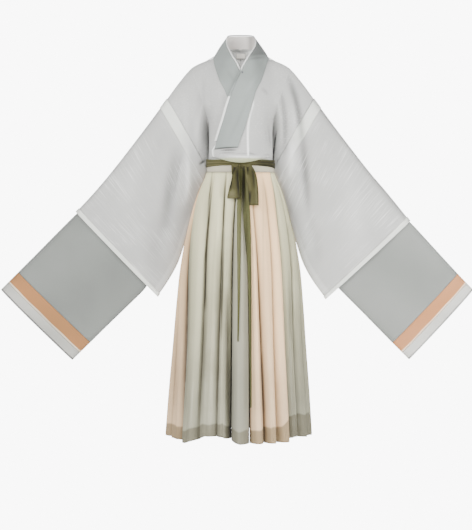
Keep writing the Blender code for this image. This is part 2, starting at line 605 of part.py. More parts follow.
# ---- bow: a knot on the belt, two hanging loops and two tails of the same ribbon ----
RIBBON = 0.0010
KNOT = (-0.0005, -0.1015, -0.3655)           # middle of the knot
KNOT_SIZE = (0.021, 0.018, 0.018)
LOOPS = {  # z, left x, right x, stand-off of the front layer; from the knot down to the turn
    "left": np.array([(-0.3615, -0.0310, -0.0120, 0.010), (-0.380, -0.0275, -0.0100, 0.014),
                      (-0.410, -0.0310, -0.0070, 0.020), (-0.450, -0.0390, -0.0060, 0.021),
                      (-0.478, -0.0430, -0.0060, 0.017)]),
    "right": np.array([(-0.3615, 0.0110, 0.0330, 0.010), (-0.380, 0.0120, 0.0460, 0.014),
                       (-0.410, 0.0170, 0.0540, 0.020), (-0.455, 0.0260, 0.0580, 0.021),
                       (-0.493, 0.0290, 0.0590, 0.017)])}
TAILS = {  # z, left x, right x
    "left": np.array([(-0.3760, -0.0130, 0.0020), (-0.430, -0.0125, 0.0060), (-0.500, -0.0120, 0.0075),
                      (-0.600, -0.0110, 0.0040), (-0.700, -0.0100, 0.0000), (-0.820, -0.0105, -0.0030),
                      (-0.940, -0.0110, -0.0070)]),
    "right": np.array([(-0.3760, 0.0040, 0.0200), (-0.430, 0.0100, 0.0280), (-0.500, 0.0090, 0.0310),
                       (-0.600, 0.0140, 0.0340), (-0.720, 0.0230, 0.0350), (-0.900, 0.0270, 0.0350),
                       (-1.060, 0.0290, 0.0350), (-1.150, 0.0300, 0.0350)])}


def skirt_front(z):
    """How far the foremost pleats stand out at this height."""
    v = (SKIRT_TOP - z) / (SKIRT_TOP - HEM_Z)
    depth = through(z, SKIRT_FORM[::-1, 0], SKIRT_FORM[::-1, 2])
    return np.where(z > SKIRT_TOP, WAIST_B + BELT_OUT, depth + PLEAT_DEPTH + 0.030 * np.clip(v, 0, 1))


def bow_tail(side):
    rows = []
    for z, left, right in TAILS[side]:
        y = -(float(skirt_front(np.array(z))) + 0.0045)
        x = np.linspace(left, right, 4)
        rows.append(np.stack([x, y + 0.0018 * np.array([0.0, -1.0, 1.0, 0.0]), np.full(4, z)], axis=1))
    return loft("bow_tail_" + side, np.array(rows), OLIVE, RIBBON, flip=True)


def bow_loop(side):
    """One strip: down in front, round the turn and up behind."""
    table = LOOPS[side]
    rows = []
    for front in (True, False):
        for z, left, right, off in (table if front else table[::-1]):
            surface = float(skirt_front(np.array(z))) + 0.0062
            y = -(surface + off) if front else -surface - 0.0030
            x = np.linspace(left, right, 4)
            rows.append(np.stack([x, np.full(4, y), np.full(4, z)], axis=1))
    return loft("bow_loop_" + side, np.array(rows), OLIVE, RIBBON, flip=True)


def bow_knot():
    bpy.ops.mesh.primitive_cube_add(size=1.0, location=KNOT)
    knot = bpy.context.object
    knot.name = "bow_knot"
    for v in knot.data.vertices:
        v.co.x *= KNOT_SIZE[0]
        v.co.y *= KNOT_SIZE[1]
        v.co.z *= KNOT_SIZE[2]
    smooth = knot.modifiers.new("round", "SUBSURF")
    smooth.levels = 2
    smooth.render_levels = 2
    knot.data.shade_smooth()
    knot.data.materials.append(material("bow_knot", OLIVE))
    for owner in list(knot.users_collection):
        owner.objects.unlink(knot)
    collection.objects.link(knot)


for bow_side in ("left", "right"):
    bow_loop(bow_side)
    bow_tail(bow_side)
bow_knot()
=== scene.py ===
import math

import bmesh
import bpy
import numpy as np
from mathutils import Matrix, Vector


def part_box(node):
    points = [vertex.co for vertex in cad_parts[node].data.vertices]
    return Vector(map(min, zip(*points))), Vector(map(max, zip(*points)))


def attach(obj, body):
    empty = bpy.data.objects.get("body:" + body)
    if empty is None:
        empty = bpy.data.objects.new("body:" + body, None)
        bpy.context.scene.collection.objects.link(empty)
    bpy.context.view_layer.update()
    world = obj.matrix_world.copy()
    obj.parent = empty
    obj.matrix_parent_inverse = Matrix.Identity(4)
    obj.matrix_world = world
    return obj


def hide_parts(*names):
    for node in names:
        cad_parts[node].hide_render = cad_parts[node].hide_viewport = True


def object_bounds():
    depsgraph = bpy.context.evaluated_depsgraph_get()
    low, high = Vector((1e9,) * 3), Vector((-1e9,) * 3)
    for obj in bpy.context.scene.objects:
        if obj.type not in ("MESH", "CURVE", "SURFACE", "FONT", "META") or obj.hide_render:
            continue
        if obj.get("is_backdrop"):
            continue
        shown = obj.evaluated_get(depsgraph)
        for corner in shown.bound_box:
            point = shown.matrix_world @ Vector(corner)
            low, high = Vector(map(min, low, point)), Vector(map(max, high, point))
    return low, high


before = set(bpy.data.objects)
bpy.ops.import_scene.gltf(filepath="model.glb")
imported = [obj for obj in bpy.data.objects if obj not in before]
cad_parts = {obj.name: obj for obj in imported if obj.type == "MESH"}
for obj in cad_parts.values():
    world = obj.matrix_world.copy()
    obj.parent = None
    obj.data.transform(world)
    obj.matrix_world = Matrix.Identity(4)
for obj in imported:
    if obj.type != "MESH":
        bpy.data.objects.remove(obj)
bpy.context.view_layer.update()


# ---- Jacket body ----
# Two halves of sheer white chiffon, each one cloth folded over the shoulder with the upper sleeve cut on.
# They are sewn down the centre back and under the arms. The foot blouses over the belt, its tail inside.
SIDES = (("right", -1), ("left", 1))        # the wearer's, and the way each lies along x
CHIFFON, SEAM, BACK_SEAM = 0.0008, 0.0003, -0.0002        # wall; parting at a seam, and at the one behind
SHOULDER_S, SHOULDER_Z = 0.168, -0.026
UNDERARM_S, UNDERARM_Z = 0.1105, -0.207
WAIST_A, WAIST_B, WAIST_DIP = 0.114, 0.088, 0.006
TOP_FOLD = np.array([  # s, z of the shoulder line and the top of the sleeve
    (0.0, 0.086), (0.03, 0.074), (0.055, 0.045), (0.079, 0.0125), (0.105, 0.004), (0.135, -0.007),
    (0.168, -0.026), (0.202, -0.065), (0.262, -0.146), (0.345, -0.255), (0.406, -0.337), (0.471, -0.418),
    (0.522, -0.473), (0.565, -0.518), (0.6, -0.556)])
SIDE = np.array([  # z, half width, half depth of the body below the arms
    (-0.32, 0.1085, 0.0985), (-0.28, 0.1085, 0.098), (-0.245, 0.1085, 0.0975), (-0.207, 0.1105, 0.097),
    (-0.15, 0.118, 0.096), (0.1, 0.118, 0.092)])
LEVEL_UNDER_COLLAR, LEVEL_LEFT_FRONT, LEVEL_COLLAR, LEVEL_AT_WAIST = 0.0036, 0.0064, 0.01, 0.0036
BLOUSE_SINE, BLOUSE_Z = 0.1085, -0.31
ROW_FALL = np.array([0.0, 0.03, 0.12, 0.28, 0.48, 0.68, 0.86, 0.96, 1.0])
FRONT_EDGE = np.array([  # s, z of the front opening or seam, a row for each row of the cloth
    (0.079, 0.0125), (0.077, 0.006), (0.073, -0.012), (0.066, -0.045), (0.052, -0.09), (0.0435, -0.13),
    (0.0365, -0.17), (0.029, -0.2), (0.0258, -0.215), (0.0255, -0.248), (0.0255, -0.28)])
BACK_EDGE = np.array([  # s, z of the back neck and the centre-back seam
    (0.079, 0.0125), (0.062, 0.034), (0.035, 0.0495), (BACK_SEAM, 0.052), (BACK_SEAM, 0.015),
    (BACK_SEAM, -0.07), (BACK_SEAM, -0.14), (BACK_SEAM, -0.185), (BACK_SEAM, -0.21),
    (BACK_SEAM, -0.248), (BACK_SEAM, -0.28)])
SIDE_ROWS = np.array([-0.245, -0.28])
BLOUSE = np.array([  # stand-off in front and at the sides, height in front and at the sides, outward share
    (0.0105, -0.0055, -0.308, -0.302, 1.0), (0.0125, -0.0055, -0.326, -0.31, 1.0),
    (0.012, -0.0052, -0.339, -0.316, 0.8), (0.0098, -0.005, -0.345, -0.32, 0.2),
    (0.0074, -0.005, -0.341, -0.324, -0.6), (0.006, -0.005, -0.329, -0.327, 0.0),
    (0.0015, -0.005, -0.322, -0.33, 0.0), (-0.0046, -0.005, -0.327, -0.333, 0.0),
    (-0.005, -0.005, -0.35, -0.35, 0.0), (-0.005, -0.005, -0.4, -0.4, 0.0)])
BLOUSE_DROPS = np.array([0, 0, 1, 1, 1, 0, 0, 0, 0, 0])        # 1 round the lower turn, where a level drops
INNER_FOLD = np.array([  # s, z, y of the lower fold of the upper sleeve, underarm to sleeve joint
    (0.1105, -0.207, 0.0), (0.1075, -0.245, 0.023), (0.1065, -0.29, 0.03), (0.108, -0.33, 0.034),
    (0.111, -0.365, 0.036)])
JOINT_TOP_S, JOINT_DEPTH = 0.25, 0.034
TORSO_COLS, ARM_COLS = 7, 5
BODY_DOWN, BODY_ACROSS = 7, 9        # finer steps between two rows and two columns
NECK_SHADE, NECK_SHADE_Z = 0.32, 0.0425        # how much darker the back neck is, and from which height
BODY_RUMPLE, BODY_SEED = 0.0016, 3
JACKET_FOLDS = {  # s, z of both ends; bow, half width, depth and tone (minus: a trough, painted darker as shade, as in the slits beside the sleeves; plus: a ridge, painted lighter as highlight)
    "right": [
        (0.208, -0.27, 0.262, -0.61, 0.004, 0.019, -0.007, -0.22),
        (0.194, -0.3, 0.226, -0.48, 0.004, 0.005, -0.002, -0.1),
        (0.187, -0.28, 0.187, -0.5, -0.012, 0.011, 0.006, 0.2),
        (0.184, -0.104, 0.177, -0.306, 0.004, 0.008, -0.0025, 0.04),
        (0.113, -0.333, 0.143, -0.353, 0.001, 0.0045, -0.004, -0.45),
        (0.1088, -0.195, 0.1085, -0.35, 0.0, 0.0024, -0.002, -0.85),
        (0.143, -0.18, 0.146, -0.33, 0.002, 0.012, 0.003, 0.08),
        (0.262, -0.5, 0.3, -0.76, 0.006, 0.033, -0.005, -0.08),
        (0.126, -0.06, 0.122, -0.19, 0.004, 0.009, -0.003, -0.05),
        (0.096, -0.09, 0.101, -0.3, 0.003, 0.008, -0.0022, -0.03),
        (0.084, -0.225, 0.07, -0.335, 0.001, 0.006, -0.0022, -0.05),
        (0.06, -0.04, 0.07, -0.14, 0.004, 0.01, -0.0015, 0.02),
        (0.33, -0.3, 0.41, -0.56, 0.01, 0.034, 0.003, 0.05),
        (0.245, -0.235, 0.33, -0.42, 0.008, 0.02, -0.003, -0.03)],
    "left": [
        (0.134, -0.095, 0.144, -0.335, 0.011, 0.008, -0.0085, -0.22),
        (0.158, -0.04, 0.208, -0.28, 0.008, 0.011, -0.008, -0.34),
        (0.2045, -0.215, 0.229, -0.535, 0.001, 0.0125, -0.0075, -0.26),
        (0.176, -0.11, 0.176, -0.27, 0.006, 0.012, 0.005, 0.1),
        (0.178, -0.262, 0.16, -0.41, 0.002, 0.016, 0.007, 0.24),
        (0.12, -0.3, 0.1175, -0.4, 0.0, 0.0035, 0.0, 0.22),
        (0.125, -0.225, 0.114, -0.32, -0.002, 0.003, -0.002, -0.48),
        (0.114, -0.285, 0.1098, -0.372, 0.0, 0.0028, -0.002, -0.48),
        (0.09, -0.215, 0.1, -0.31, 0.002, 0.0042, -0.003, -0.14),
        (0.082, -0.235, 0.088, -0.29, 0.001, 0.0034, -0.002, -0.08),
        (0.066, -0.104, 0.094, -0.13, 0.003, 0.006, -0.0028, -0.14),
        (0.074, -0.327, 0.104, -0.325, 0.001, 0.0034, -0.0015, -0.1),
        (0.35, -0.34, 0.4, -0.7, 0.01, 0.04, 0.004, 0.08),
        (0.222, -0.5, 0.262, -0.7, 0.008, 0.018, -0.004, -0.07),
        (-0.073, -0.3125, -0.0075, -0.313, 0.0, 0.0028, -0.0012, -0.46),
        (-0.076, -0.3215, -0.012, -0.322, 0.0, 0.0024, -0.0008, -0.22),
        (-0.055, -0.332, 0.075, -0.335, -0.002, 0.0034, 0.0015, 0.28),
        (-0.03, -0.3265, 0.064, -0.327, 0.002, 0.002, -0.001, -0.14),
        (0.02, -0.318, 0.05, -0.33, 0.001, 0.003, -0.001, -0.12)],
    "back": [
        (0.15, -0.06, 0.17, -0.33, 0.006, 0.013, -0.008, -0.22),
        (0.112, -0.12, 0.104, -0.3, 0.004, 0.009, -0.004, -0.12),
        (0.07, -0.18, 0.05, -0.33, 0.002, 0.008, -0.0034, -0.1),
        (0.03, -0.2, 0.036, -0.33, 0.001, 0.007, -0.0026, -0.08),
        (0.132, -0.1, 0.128, -0.26, 0.003, 0.011, 0.004, 0.08),
        (0.1095, -0.195, 0.1095, -0.35, 0.0, 0.0034, -0.002, -0.5),
        (0.196, -0.24, 0.246, -0.62, 0.01, 0.014, -0.008, -0.22),
        (0.182, -0.3, 0.205, -0.52, 0.006, 0.01, 0.005, 0.1),
        (0.28, -0.33, 0.35, -0.66, 0.012, 0.026, -0.005, -0.07),
        (0.34, -0.3, 0.44, -0.56, 0.01, 0.03, 0.0035, 0.05)]}


def lerp(a, b, t):
    """A straight mix from a to b."""
    return a + (b - a) * t


def ease(x):
    """0 below 0, 1 above 1, and 3x^2 - 2x^3 between."""
    x = np.clip(x, 0.0, 1.0)
    return x * x * (3 - 2 * x)


def ramp(x, start, width):
    """Eases from 0 at the start to 1 a width further on, or back where the width is negative."""
    return ease((x - start) / width)


def bell(x, width):
    """1 at zero, dying away on both sides: exp(-(x / width)^2)."""
    return np.exp(-(x / width) ** 2)


def through(at, knots, values):
    """Cubic pieces through a table's rows, each slope the mean of its neighbours' slopes."""
    knots = np.asarray(knots, float)
    values = np.asarray(values, float)
    slope = np.gradient(values, knots, axis=0)
    at = np.clip(np.asarray(at, float), knots[0], knots[-1])
    i = np.clip(np.searchsorted(knots, at, side="right") - 1, 0, len(knots) - 2)
    width = knots[i + 1] - knots[i]
    t = (at - knots[i]) / width
    if values.ndim == 2:
        t = t[..., None]
        width = width[..., None]
    a, b = values[i], values[i + 1]
    da, db = slope[i] * width, slope[i + 1] * width
    return (a * (2 * t**3 - 3 * t**2 + 1) + da * (t**3 - 2 * t**2 + t)
            + b * (3 * t**2 - 2 * t**3) + db * (t**3 - t**2))


def read(table, at, k=1):
    """A column of a table at places between its rows, the first column saying where each row is."""
    return through(at, table[:, 0], table[:, k])


def stacked(*parts):
    """The parts as the last axis of one grid, each spread out to the shape of them all."""
    return np.stack(np.broadcast_arrays(*parts), axis=-1)


def down(sheet, steps):
    """Finer rows: a cubic curve through each column, with this many steps from row to row."""
    rows = len(sheet)
    at = np.linspace(0, rows - 1, (rows - 1) * steps + 1)
    return through(at, np.arange(rows), sheet.reshape(rows, -1)).reshape(len(at), *sheet.shape[1:])


def across(sheet, steps):
    """Finer columns: a cubic curve along each row."""
    return down(sheet.transpose(1, 0, 2), steps).transpose(1, 0, 2)


def top_fold(s):
    """Height of the shoulder line this far from the middle, out to the end of the sleeve."""
    return read(TOP_FOLD, s)


def chest_depth(x, z, back=False):
    """Half depth of the body: an ellipse below the arms, a quarter-round slope above them."""
    s = np.abs(x)
    drop = np.maximum(top_fold(s) - z, 0.0)
    reach = lerp(0.075 if back else 0.125, 0.09, ease(s / 0.16))
    rise = np.sqrt(1 - (1 - np.clip(drop / reach, 0, 1)) ** 2)
    above = 0.04 + 0.056 * (np.cos(np.pi * np.minimum(s / 0.18, 1)) + 1) / 2
    below = read(SIDE, z, 2) * np.sqrt(np.maximum(1 - (s / read(SIDE, z)) ** 2, 0))
    return rise * lerp(above, below, ease((z + 0.15) / (UNDERARM_Z + 0.15)))


def left_level(x, z):
    """Stand-off of the left front over the right front: full at the crossing, none at its side seam."""
    s = np.abs(x)
    full = lerp(LEVEL_LEFT_FRONT, LEVEL_AT_WAIST, ease((z + 0.255) / -0.045))
    side = np.where(x > 0, ease((0.108 - s) / 0.03), 1.0)
    return full * side * ease((top_fold(s) - z) / 0.05)


def lens(h):
    """Section of a hanging sleeve from its top fold (0) to the lower one (1): half round, fuller above."""
    return 2 * np.sqrt(np.maximum(h * (1 - h), 0)) * (1 + 0.3 * (1 - 2 * h))


def blouse_rows(sine, back, level):
    """The bloused waist, ten rows: out over the belt and back under in front, straight in at the sides."""
    front_off, side_off, front_z, side_z, outward = (BLOUSE[:, k, None] for k in range(5))
    cosine = np.sqrt(np.maximum(1 - sine**2, 0))
    fullness = cosine**1.5 * (0.75 if back else 1.0)
    off = lerp(side_off, front_off, fullness) + level * outward
    z = lerp(side_z, front_z, fullness**2.6) - level * np.sqrt(1 - outward**2) * BLOUSE_DROPS[:, None]
    z = z + WAIST_DIP * cosine * (1 if back else -1)
    y = (WAIST_B + off) * cosine * (1 if back else -1)
    return stacked((WAIST_A + off) * sine, y, z)


def torso_rows(hand, back):
    """Rows from the shoulder fold down to the tail, columns from the middle to the side."""
    columns = np.sin(np.linspace(0, math.pi / 2, TORSO_COLS + 1))
    edge = BACK_EDGE if back else FRONT_EDGE
    side_s = np.concatenate([lerp(SHOULDER_S, UNDERARM_S, ROW_FALL), read(SIDE, SIDE_ROWS)])
    side_z = np.concatenate([lerp(SHOULDER_Z, UNDERARM_Z, ROW_FALL), SIDE_ROWS])
    s = lerp(edge[:, 0, None], side_s[:, None], columns)
    z = lerp(edge[:, 1, None], side_z[:, None], columns)
    z[0] = top_fold(s[0])
    depth = chest_depth(s, z, back)
    sine = lerp(edge[-1, 0] / WAIST_A, 1.0, columns)
    level = np.zeros_like(sine)
    if hand > 0 and not back:
        depth = depth + left_level(s, z)
        level = left_level(sine * BLOUSE_SINE, np.full_like(sine, BLOUSE_Z))
    depth[0] = 0.0
    depth[len(ROW_FALL) - 1:, -1] = 0.0
    upper = stacked(s, depth if back else -depth, z)
    rows = np.concatenate([upper, blouse_rows(sine, back, level)])
    return rows * np.array([hand, 1, 1])


def arm_rows(hand, back, shoulder):
    """The cut-on sleeve beyond the shoulder column, from its top fold to its lower fold."""
    along = np.arange(1, ARM_COLS + 1) / ARM_COLS
    fall = ROW_FALL[:, None]
    top_s = lerp(SHOULDER_S, JOINT_TOP_S, along)
    low = through(along, np.linspace(0, 1, len(INNER_FOLD)), INNER_FOLD)
    s = lerp(top_s, low[:, 0], fall)
    z = lerp(top_fold(top_s), low[:, 1], fall)
    depth = lerp(np.abs(shoulder[:, None]), JOINT_DEPTH * lens(fall), ease(along))
    depth[[0, -1]] = 0.0
    y = depth * (1 if back else -1) + low[:, 2] * fall**1.5
    return stacked(hand * s, y, z)


def creased(points, out, folds, hand=1, keep=1.0):
    """Folds pressed into a sheet along y: each a bell across its bowed line, dying away at both ends. The
    second result is the painted shade and highlight that go with them: 0.5 on plain cloth, less (painted
    shade) in a trough, more (painted highlight) on a ridge."""
    s, z = points[..., 0] * hand, points[..., 2]
    push, tone = np.zeros_like(s), np.full_like(s, 0.5)
    for s0, z0, s1, z1, bow, width, depth, shade in folds:
        length = math.hypot(s1 - s0, z1 - z0)
        t = ((s - s0) * (s1 - s0) + (z - z0) * (z1 - z0)) / length**2
        side = ((s - s0) * (z0 - z1) + (z - z0) * (s1 - s0)) / length
        inside = np.clip(t, 0, 1)
        side = side - bow * 4 * inside * (1 - inside)
        strength = np.sin(np.pi * np.clip(lerp(-0.04, 1.04, t), 0, 1)) ** 0.8 * bell(side, width)
        push += depth * strength
        tone += shade * strength
    moved = points.copy()
    moved[..., 1] += out * push * keep
    return moved, tone


def rumple(points, out, size, seed, keep):
    """Faint unevenness of hanging cloth: five slow waves of unlike directions, mostly across the cloth."""
    rng = np.random.default_rng(seed)
    wave = np.zeros(points.shape[:2])
    for _ in range(5):
        kx, kz, phase = rng.uniform(18, 70), rng.uniform(-16, 16), rng.uniform(0, 2 * math.pi)
        wave += np.sin(points[..., 0] * kx + points[..., 2] * kz + phase) / 5
    moved = points.copy()
    moved[..., 1] += out * size * wave * keep
    return moved


def placed(name, data):
    """A new object with this mesh, lamp or camera, put into the scene."""
    item = bpy.data.objects.new(name, data)
    bpy.context.scene.collection.objects.link(item)
    return item


def cloth(name, sheets, thickness, finishes, nodes):
    """One piece of cloth from sheets of points: neighbours make faces, shared edges are merged, and the
    outer face as given is thickened inwards. A sheet is (points, weave in metres, place, turned)."""
    points = np.concatenate([s[0].reshape(-1, 3) for s in sheets])
    maps = {"weave": np.concatenate([s[1].reshape(-1, 2) for s in sheets]),
            "place": np.concatenate([s[2].reshape(-1, 2) for s in sheets])}
    faces = []
    first = 0
    for grid, _, _, turned in sheets:
        k = np.arange(grid.shape[0] * grid.shape[1]).reshape(grid.shape[:2]) + first
        quads = np.stack([k[:-1, :-1], k[:-1, 1:], k[1:, 1:], k[1:, :-1]], axis=-1).reshape(-1, 4)
        faces.append(quads[:, ::-1] if turned else quads)
        first += k.size
    mesh = bpy.data.meshes.new(name)
    mesh.from_pydata(points.tolist(), [], np.concatenate(faces).tolist())
    corner = np.empty(len(mesh.loops), np.int32)
    mesh.loops.foreach_get("vertex_index", corner)
    for key, values in maps.items():
        mesh.uv_layers.new(name=key).data.foreach_set("uv", values[corner].astype(np.float32).ravel())
    work = bmesh.new()
    work.from_mesh(mesh)
    bmesh.ops.remove_doubles(work, verts=work.verts, dist=2e-5)
    work.to_mesh(mesh)
    work.free()
    mesh.shade_smooth()
    for finish in finishes:
        mesh.materials.append(finish)
    piece = placed(name, mesh)
    wall = piece.modifiers.new("wall", "SOLIDIFY")
    wall.thickness = thickness
    wall.offset = -1.0
    wall.use_rim = True
    wall.material_offset = len(finishes) - 1
    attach(piece, "root")
    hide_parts(*nodes)
    return piece


def flat_maps(points, tone):
    """Weave of a sheet that hangs nearly flat, across and down in metres, and its place: tone, and how far
    the olive belt shows through where the blouse falls over it."""
    x, y, z = (points[..., k] for k in range(3))
    over_belt = ramp(z, -0.3335, -0.01) * ramp(np.abs(x), 0.112, -0.03) * (y < 0)
    return stacked(x, -z), stacked(tone, over_belt)


def feed(tree, node, inputs):
    """Gives inputs of a node, by name or number, a plain value or the output that feeds them."""
    for socket, value in inputs.items():
        if isinstance(value, bpy.types.NodeSocket):
            tree.links.new(value, node.inputs[socket])
        else:
            node.inputs[socket].default_value = value
    return node


def new_node(tree, kind, inputs, **settings):
    """A new shader node of this kind with its settings and inputs."""
    node = tree.nodes.new("ShaderNode" + kind)
    for key, value in settings.items():
        setattr(node, key, value)
    return feed(tree, node, inputs)


def new_material(name):
    """A plain material and its tree of nodes."""
    mat = bpy.data.materials.new(name)
    mat.use_nodes = True
    return mat, mat.node_tree


CLOUDS, CLOUD_DETAIL, CLOUD_DEPTH = 9.0, 5.0, 0.07        # waves a metre, detail, share of the deep colour
YARN_LONG, YARN_FINE, YARN_HEIGHT = 70.0, 1900.0, 0.0004        # waves a metre along and across a yarn


def woven(name, deep, colour, high, streak=0.0, along=(30.0, 900.0), foot=None, edge=None, roughness=0.85,
          bump=0.1, sheen=0.15):
    """Plain cloth: its colour with slow clouds, changing down the piece to that of its foot and, past the
    start of an edge, to the edge's, mixed with the deep colour as painted shade where the tone falls below
    0.5 and with the high one as painted highlight where it rises, then slubs in patches running one way,
    and fine yarns as bump."""
    mat, tree = new_material(name)
    weave = new_node(tree, "UVMap", {}, uv_map="weave").outputs["UV"]
    place = new_node(tree, "UVMap", {}, uv_map="place").outputs["UV"]
    part = new_node(tree, "SeparateXYZ", {"Vector": place}).outputs
    where = new_node(tree, "TexCoord", {}).outputs["Object"]

    def noise(at, scale, detail):
        """Cloudy noise, 0 to 1, with this many waves a metre."""
        return new_node(tree, "TexNoise", {"Vector": at, "Scale": scale, "Detail": detail}).outputs["Fac"]

    def spread(value, low, high, least, most):
        """A value between low and high carried straight over to between least and most."""
        ends = {"Value": value, "From Min": low, "From Max": high, "To Min": least, "To Max": most}
        return new_node(tree, "MapRange", ends).outputs["Result"]

    def mixed(factor, *tints):
        """A straight mix of two colours: the first at 0, the second at 1."""
        below, above = ((*tint, 1) if isinstance(tint, tuple) else tint for tint in tints)
        return new_node(tree, "Mix", {"Factor": factor, 6: below, 7: above}, data_type="RGBA").outputs[2]

    def yarns(scale_u, scale_v, detail):
        """Noise drawn out along the weave, with its own waves a metre each way."""
        stretched = new_node(tree, "Mapping", {"Vector": weave, "Scale": (scale_u, scale_v, 1.0)})
        return noise(stretched.outputs["Vector"], 1.0, detail)

    def worked_out(operation, a, b):
        """Two values added or multiplied."""
        return new_node(tree, "Math", {0: a, 1: b}, operation=operation).outputs["Value"]

    cloud = noise(where, CLOUDS, CLOUD_DETAIL)
    fall = mixed(part["Y"], colour, foot or colour)
    if edge:
        start, width, tint = edge
        fall = mixed(spread(part["Y"], start, start + width, 0.0, 1.0), fall, tint)
    plain = mixed(spread(cloud, 0.35, 0.65, CLOUD_DEPTH, 0.0), fall, deep)
    # Painted shade: the deep colour where the tone is below 0.5; painted highlight: the high one above it.
    fold_shaded = mixed(spread(part["X"], 0.0, 0.5, 1.0, 0.0), plain, deep)
    fold_highlighted = mixed(spread(part["X"], 0.5, 1.0, 0.0, 1.0), fold_shaded, high)
    slubs = spread(yarns(*along, 3.0), 0.52, 0.7, 0.0, streak)
    patches = worked_out("MULTIPLY", slubs, spread(cloud, 0.42, 0.56, 0.15, 1.0))
    height = worked_out("ADD", yarns(YARN_LONG, YARN_FINE, 1.0), yarns(YARN_FINE, YARN_LONG, 1.0))
    relief = new_node(tree, "Bump", {"Height": height, "Strength": bump, "Distance": YARN_HEIGHT})
    feed(tree, tree.nodes["Principled BSDF"], {
        "Base Color": mixed(patches, fold_highlighted, high), "Normal": relief.outputs["Normal"],
        "Roughness": roughness, "Sheen Weight": sheen, "Sheen Roughness": 0.5, "Specular IOR Level": 0.2})
    return mat


# Each cloth's deep colour is its painted shade in troughs and a faint share of its clouds; its high colour
# is its painted highlight on ridges and the colour of its slubs.
WHITE_DEEP, WHITE, WHITE_HIGH = (0.012, 0.0125, 0.011), (0.4, 0.4, 0.385), (0.8, 0.81, 0.78)
chiffon = woven("white_chiffon", WHITE_DEEP, WHITE, WHITE_HIGH, streak=0.22, along=(150.0, 240.0),
                foot=(0.33, 0.345, 0.215))
# The inside face of the same chiffon gets a far paler colour than the outside: painted light, standing in
# for light coming through the sheer cloth into the shaded inside.
inside_white_lit = woven("white_chiffon_inside", (0.1, 0.1, 0.09), (0.96, 0.96, 0.94), (0.96, 0.96, 0.94))
FRONT_SEAM = np.array([  # depth below zero, distance from the middle
    (0.12, 0.048), (0.158, 0.0415), (0.182, 0.035), (0.206, 0.0285), (0.232, 0.0252), (0.33, 0.025)])
FRONT_SEAM_WIDTH, FRONT_SEAM_TONE = 0.0028, 0.8


def front_seam(grid, hand, tone):
    """Adds the pale line of the doubled centre-front seam, a bell about the sewn edge."""
    z = grid[..., 2]
    line = bell(grid[..., 0] * hand - read(FRONT_SEAM, -z), FRONT_SEAM_WIDTH)
    return tone + FRONT_SEAM_TONE * line * ramp(z, -0.14, -0.03) * ramp(z, -0.337, 0.012)


for side, hand in SIDES:
    sheets = []
    for back in (False, True):
        rows = torso_rows(hand, back)
        underarm = len(ROW_FALL) - 1
        torso = down(rows, BODY_DOWN)
        arm = down(arm_rows(hand, back, rows[:underarm + 1, -1, 1]), BODY_DOWN)
        upper = across(np.concatenate([torso[:underarm * BODY_DOWN + 1], arm], axis=1), BODY_ACROSS)
        lower = across(torso[underarm * BODY_DOWN:], BODY_ACROSS)
        lower[0] = upper[-1, :lower.shape[1]]
        out = 1 if back else -1
        for grid in (upper, lower):
            keep = ease(np.abs(grid[..., 1]) / 0.022) * ramp(grid[..., 2], -0.36, 0.04)
            moved, tone = creased(grid, out, JACKET_FOLDS["back" if back else side], hand, keep)
            if back:
                tone = tone - NECK_SHADE * ramp(grid[..., 2], NECK_SHADE_Z, 0.004)
            elif hand > 0:
                tone = front_seam(grid, hand, tone)
            grid[:] = rumple(moved, out, BODY_RUMPLE, BODY_SEED, keep)
            sheets.append((grid, *flat_maps(grid, tone), (hand > 0) != back))
    body = cloth("chiffon_body_" + side, sheets, CHIFFON, [chiffon, inside_white_lit],
                 ["body_" + side])


# ---- Overlaps ----
# The left front reaches across the right one with an extension sewn to the centre-front seam, and the
# right front carries a shorter one beneath it. Both are the same chiffon and end under the collar.
LEFT_OVERLAP_EDGE = np.array([(0.13, 0.024), (0.22, 0.056), (0.3, 0.082), (0.345, 0.09)])
RIGHT_OVERLAP_EDGE = np.array([(0.13, 0.0), (0.22, 0.03), (0.28, 0.062)])
OVERLAP_START, OVERLAP_STEPS = 5, 12        # first row of the front edge; finer steps between rows
OVERLAP_EDGE_TONE, OVERLAP_EDGE_WIDTH = 0.6, 0.005


def overlap_rows(hand, far_edge, foot_rows):
    """Straight rows from the centre-front seam to the far edge, laid on the chest and then the blouse."""
    seam, z = FRONT_EDGE[OVERLAP_START:, 0], FRONT_EDGE[OVERLAP_START:, 1]
    far = read(far_edge, -z)
    t = np.linspace(0, 1, 6)
    x = lerp(seam[:, None] - SEAM, -far[:, None], t)
    z = np.broadcast_to(z[:, None], x.shape)
    level = left_level(x, z) if hand > 0 else 0.0
    rows = stacked(x, -(chest_depth(x, z) + level), z)
    if foot_rows:
        sine = lerp((FRONT_EDGE[-1, 0] - SEAM) / WAIST_A, -far_edge[-1, 1] / WAIST_A, t)
        level = left_level(sine * BLOUSE_SINE, np.full_like(sine, BLOUSE_Z))
        foot = blouse_rows(np.abs(sine), False, level)[:foot_rows]
        foot[..., 0] *= np.sign(sine)
        rows = np.concatenate([rows, foot])
    return rows * np.array([hand, 1, 1])


for side, hand, edge, foot_rows, flat in (
        ("left", 1, LEFT_OVERLAP_EDGE, 4, (0.1, 0.22)), ("right", -1, RIGHT_OVERLAP_EDGE, 0, (0.07, 0.13))):
    grid = across(down(overlap_rows(hand, edge, foot_rows), OVERLAP_STEPS), OVERLAP_STEPS)
    # The jacket's folds are only painted on here, as shade and highlight; the overlap itself is not moved.
    _, tone = creased(grid, -1, JACKET_FOLDS[side], hand)
    hemmed = bell(grid[..., 0] - grid[:, -1:, 0], OVERLAP_EDGE_WIDTH) * ramp(grid[..., 2], -0.26, -0.01)
    tone = tone + OVERLAP_EDGE_TONE * hemmed
    if hand > 0:
        tone = front_seam(grid, hand, tone)
    piece = cloth("chiffon_overlap_" + side, [(grid, *flat_maps(grid, tone), hand < 0)], CHIFFON, [chiffon],
                  ["overlap_" + side])


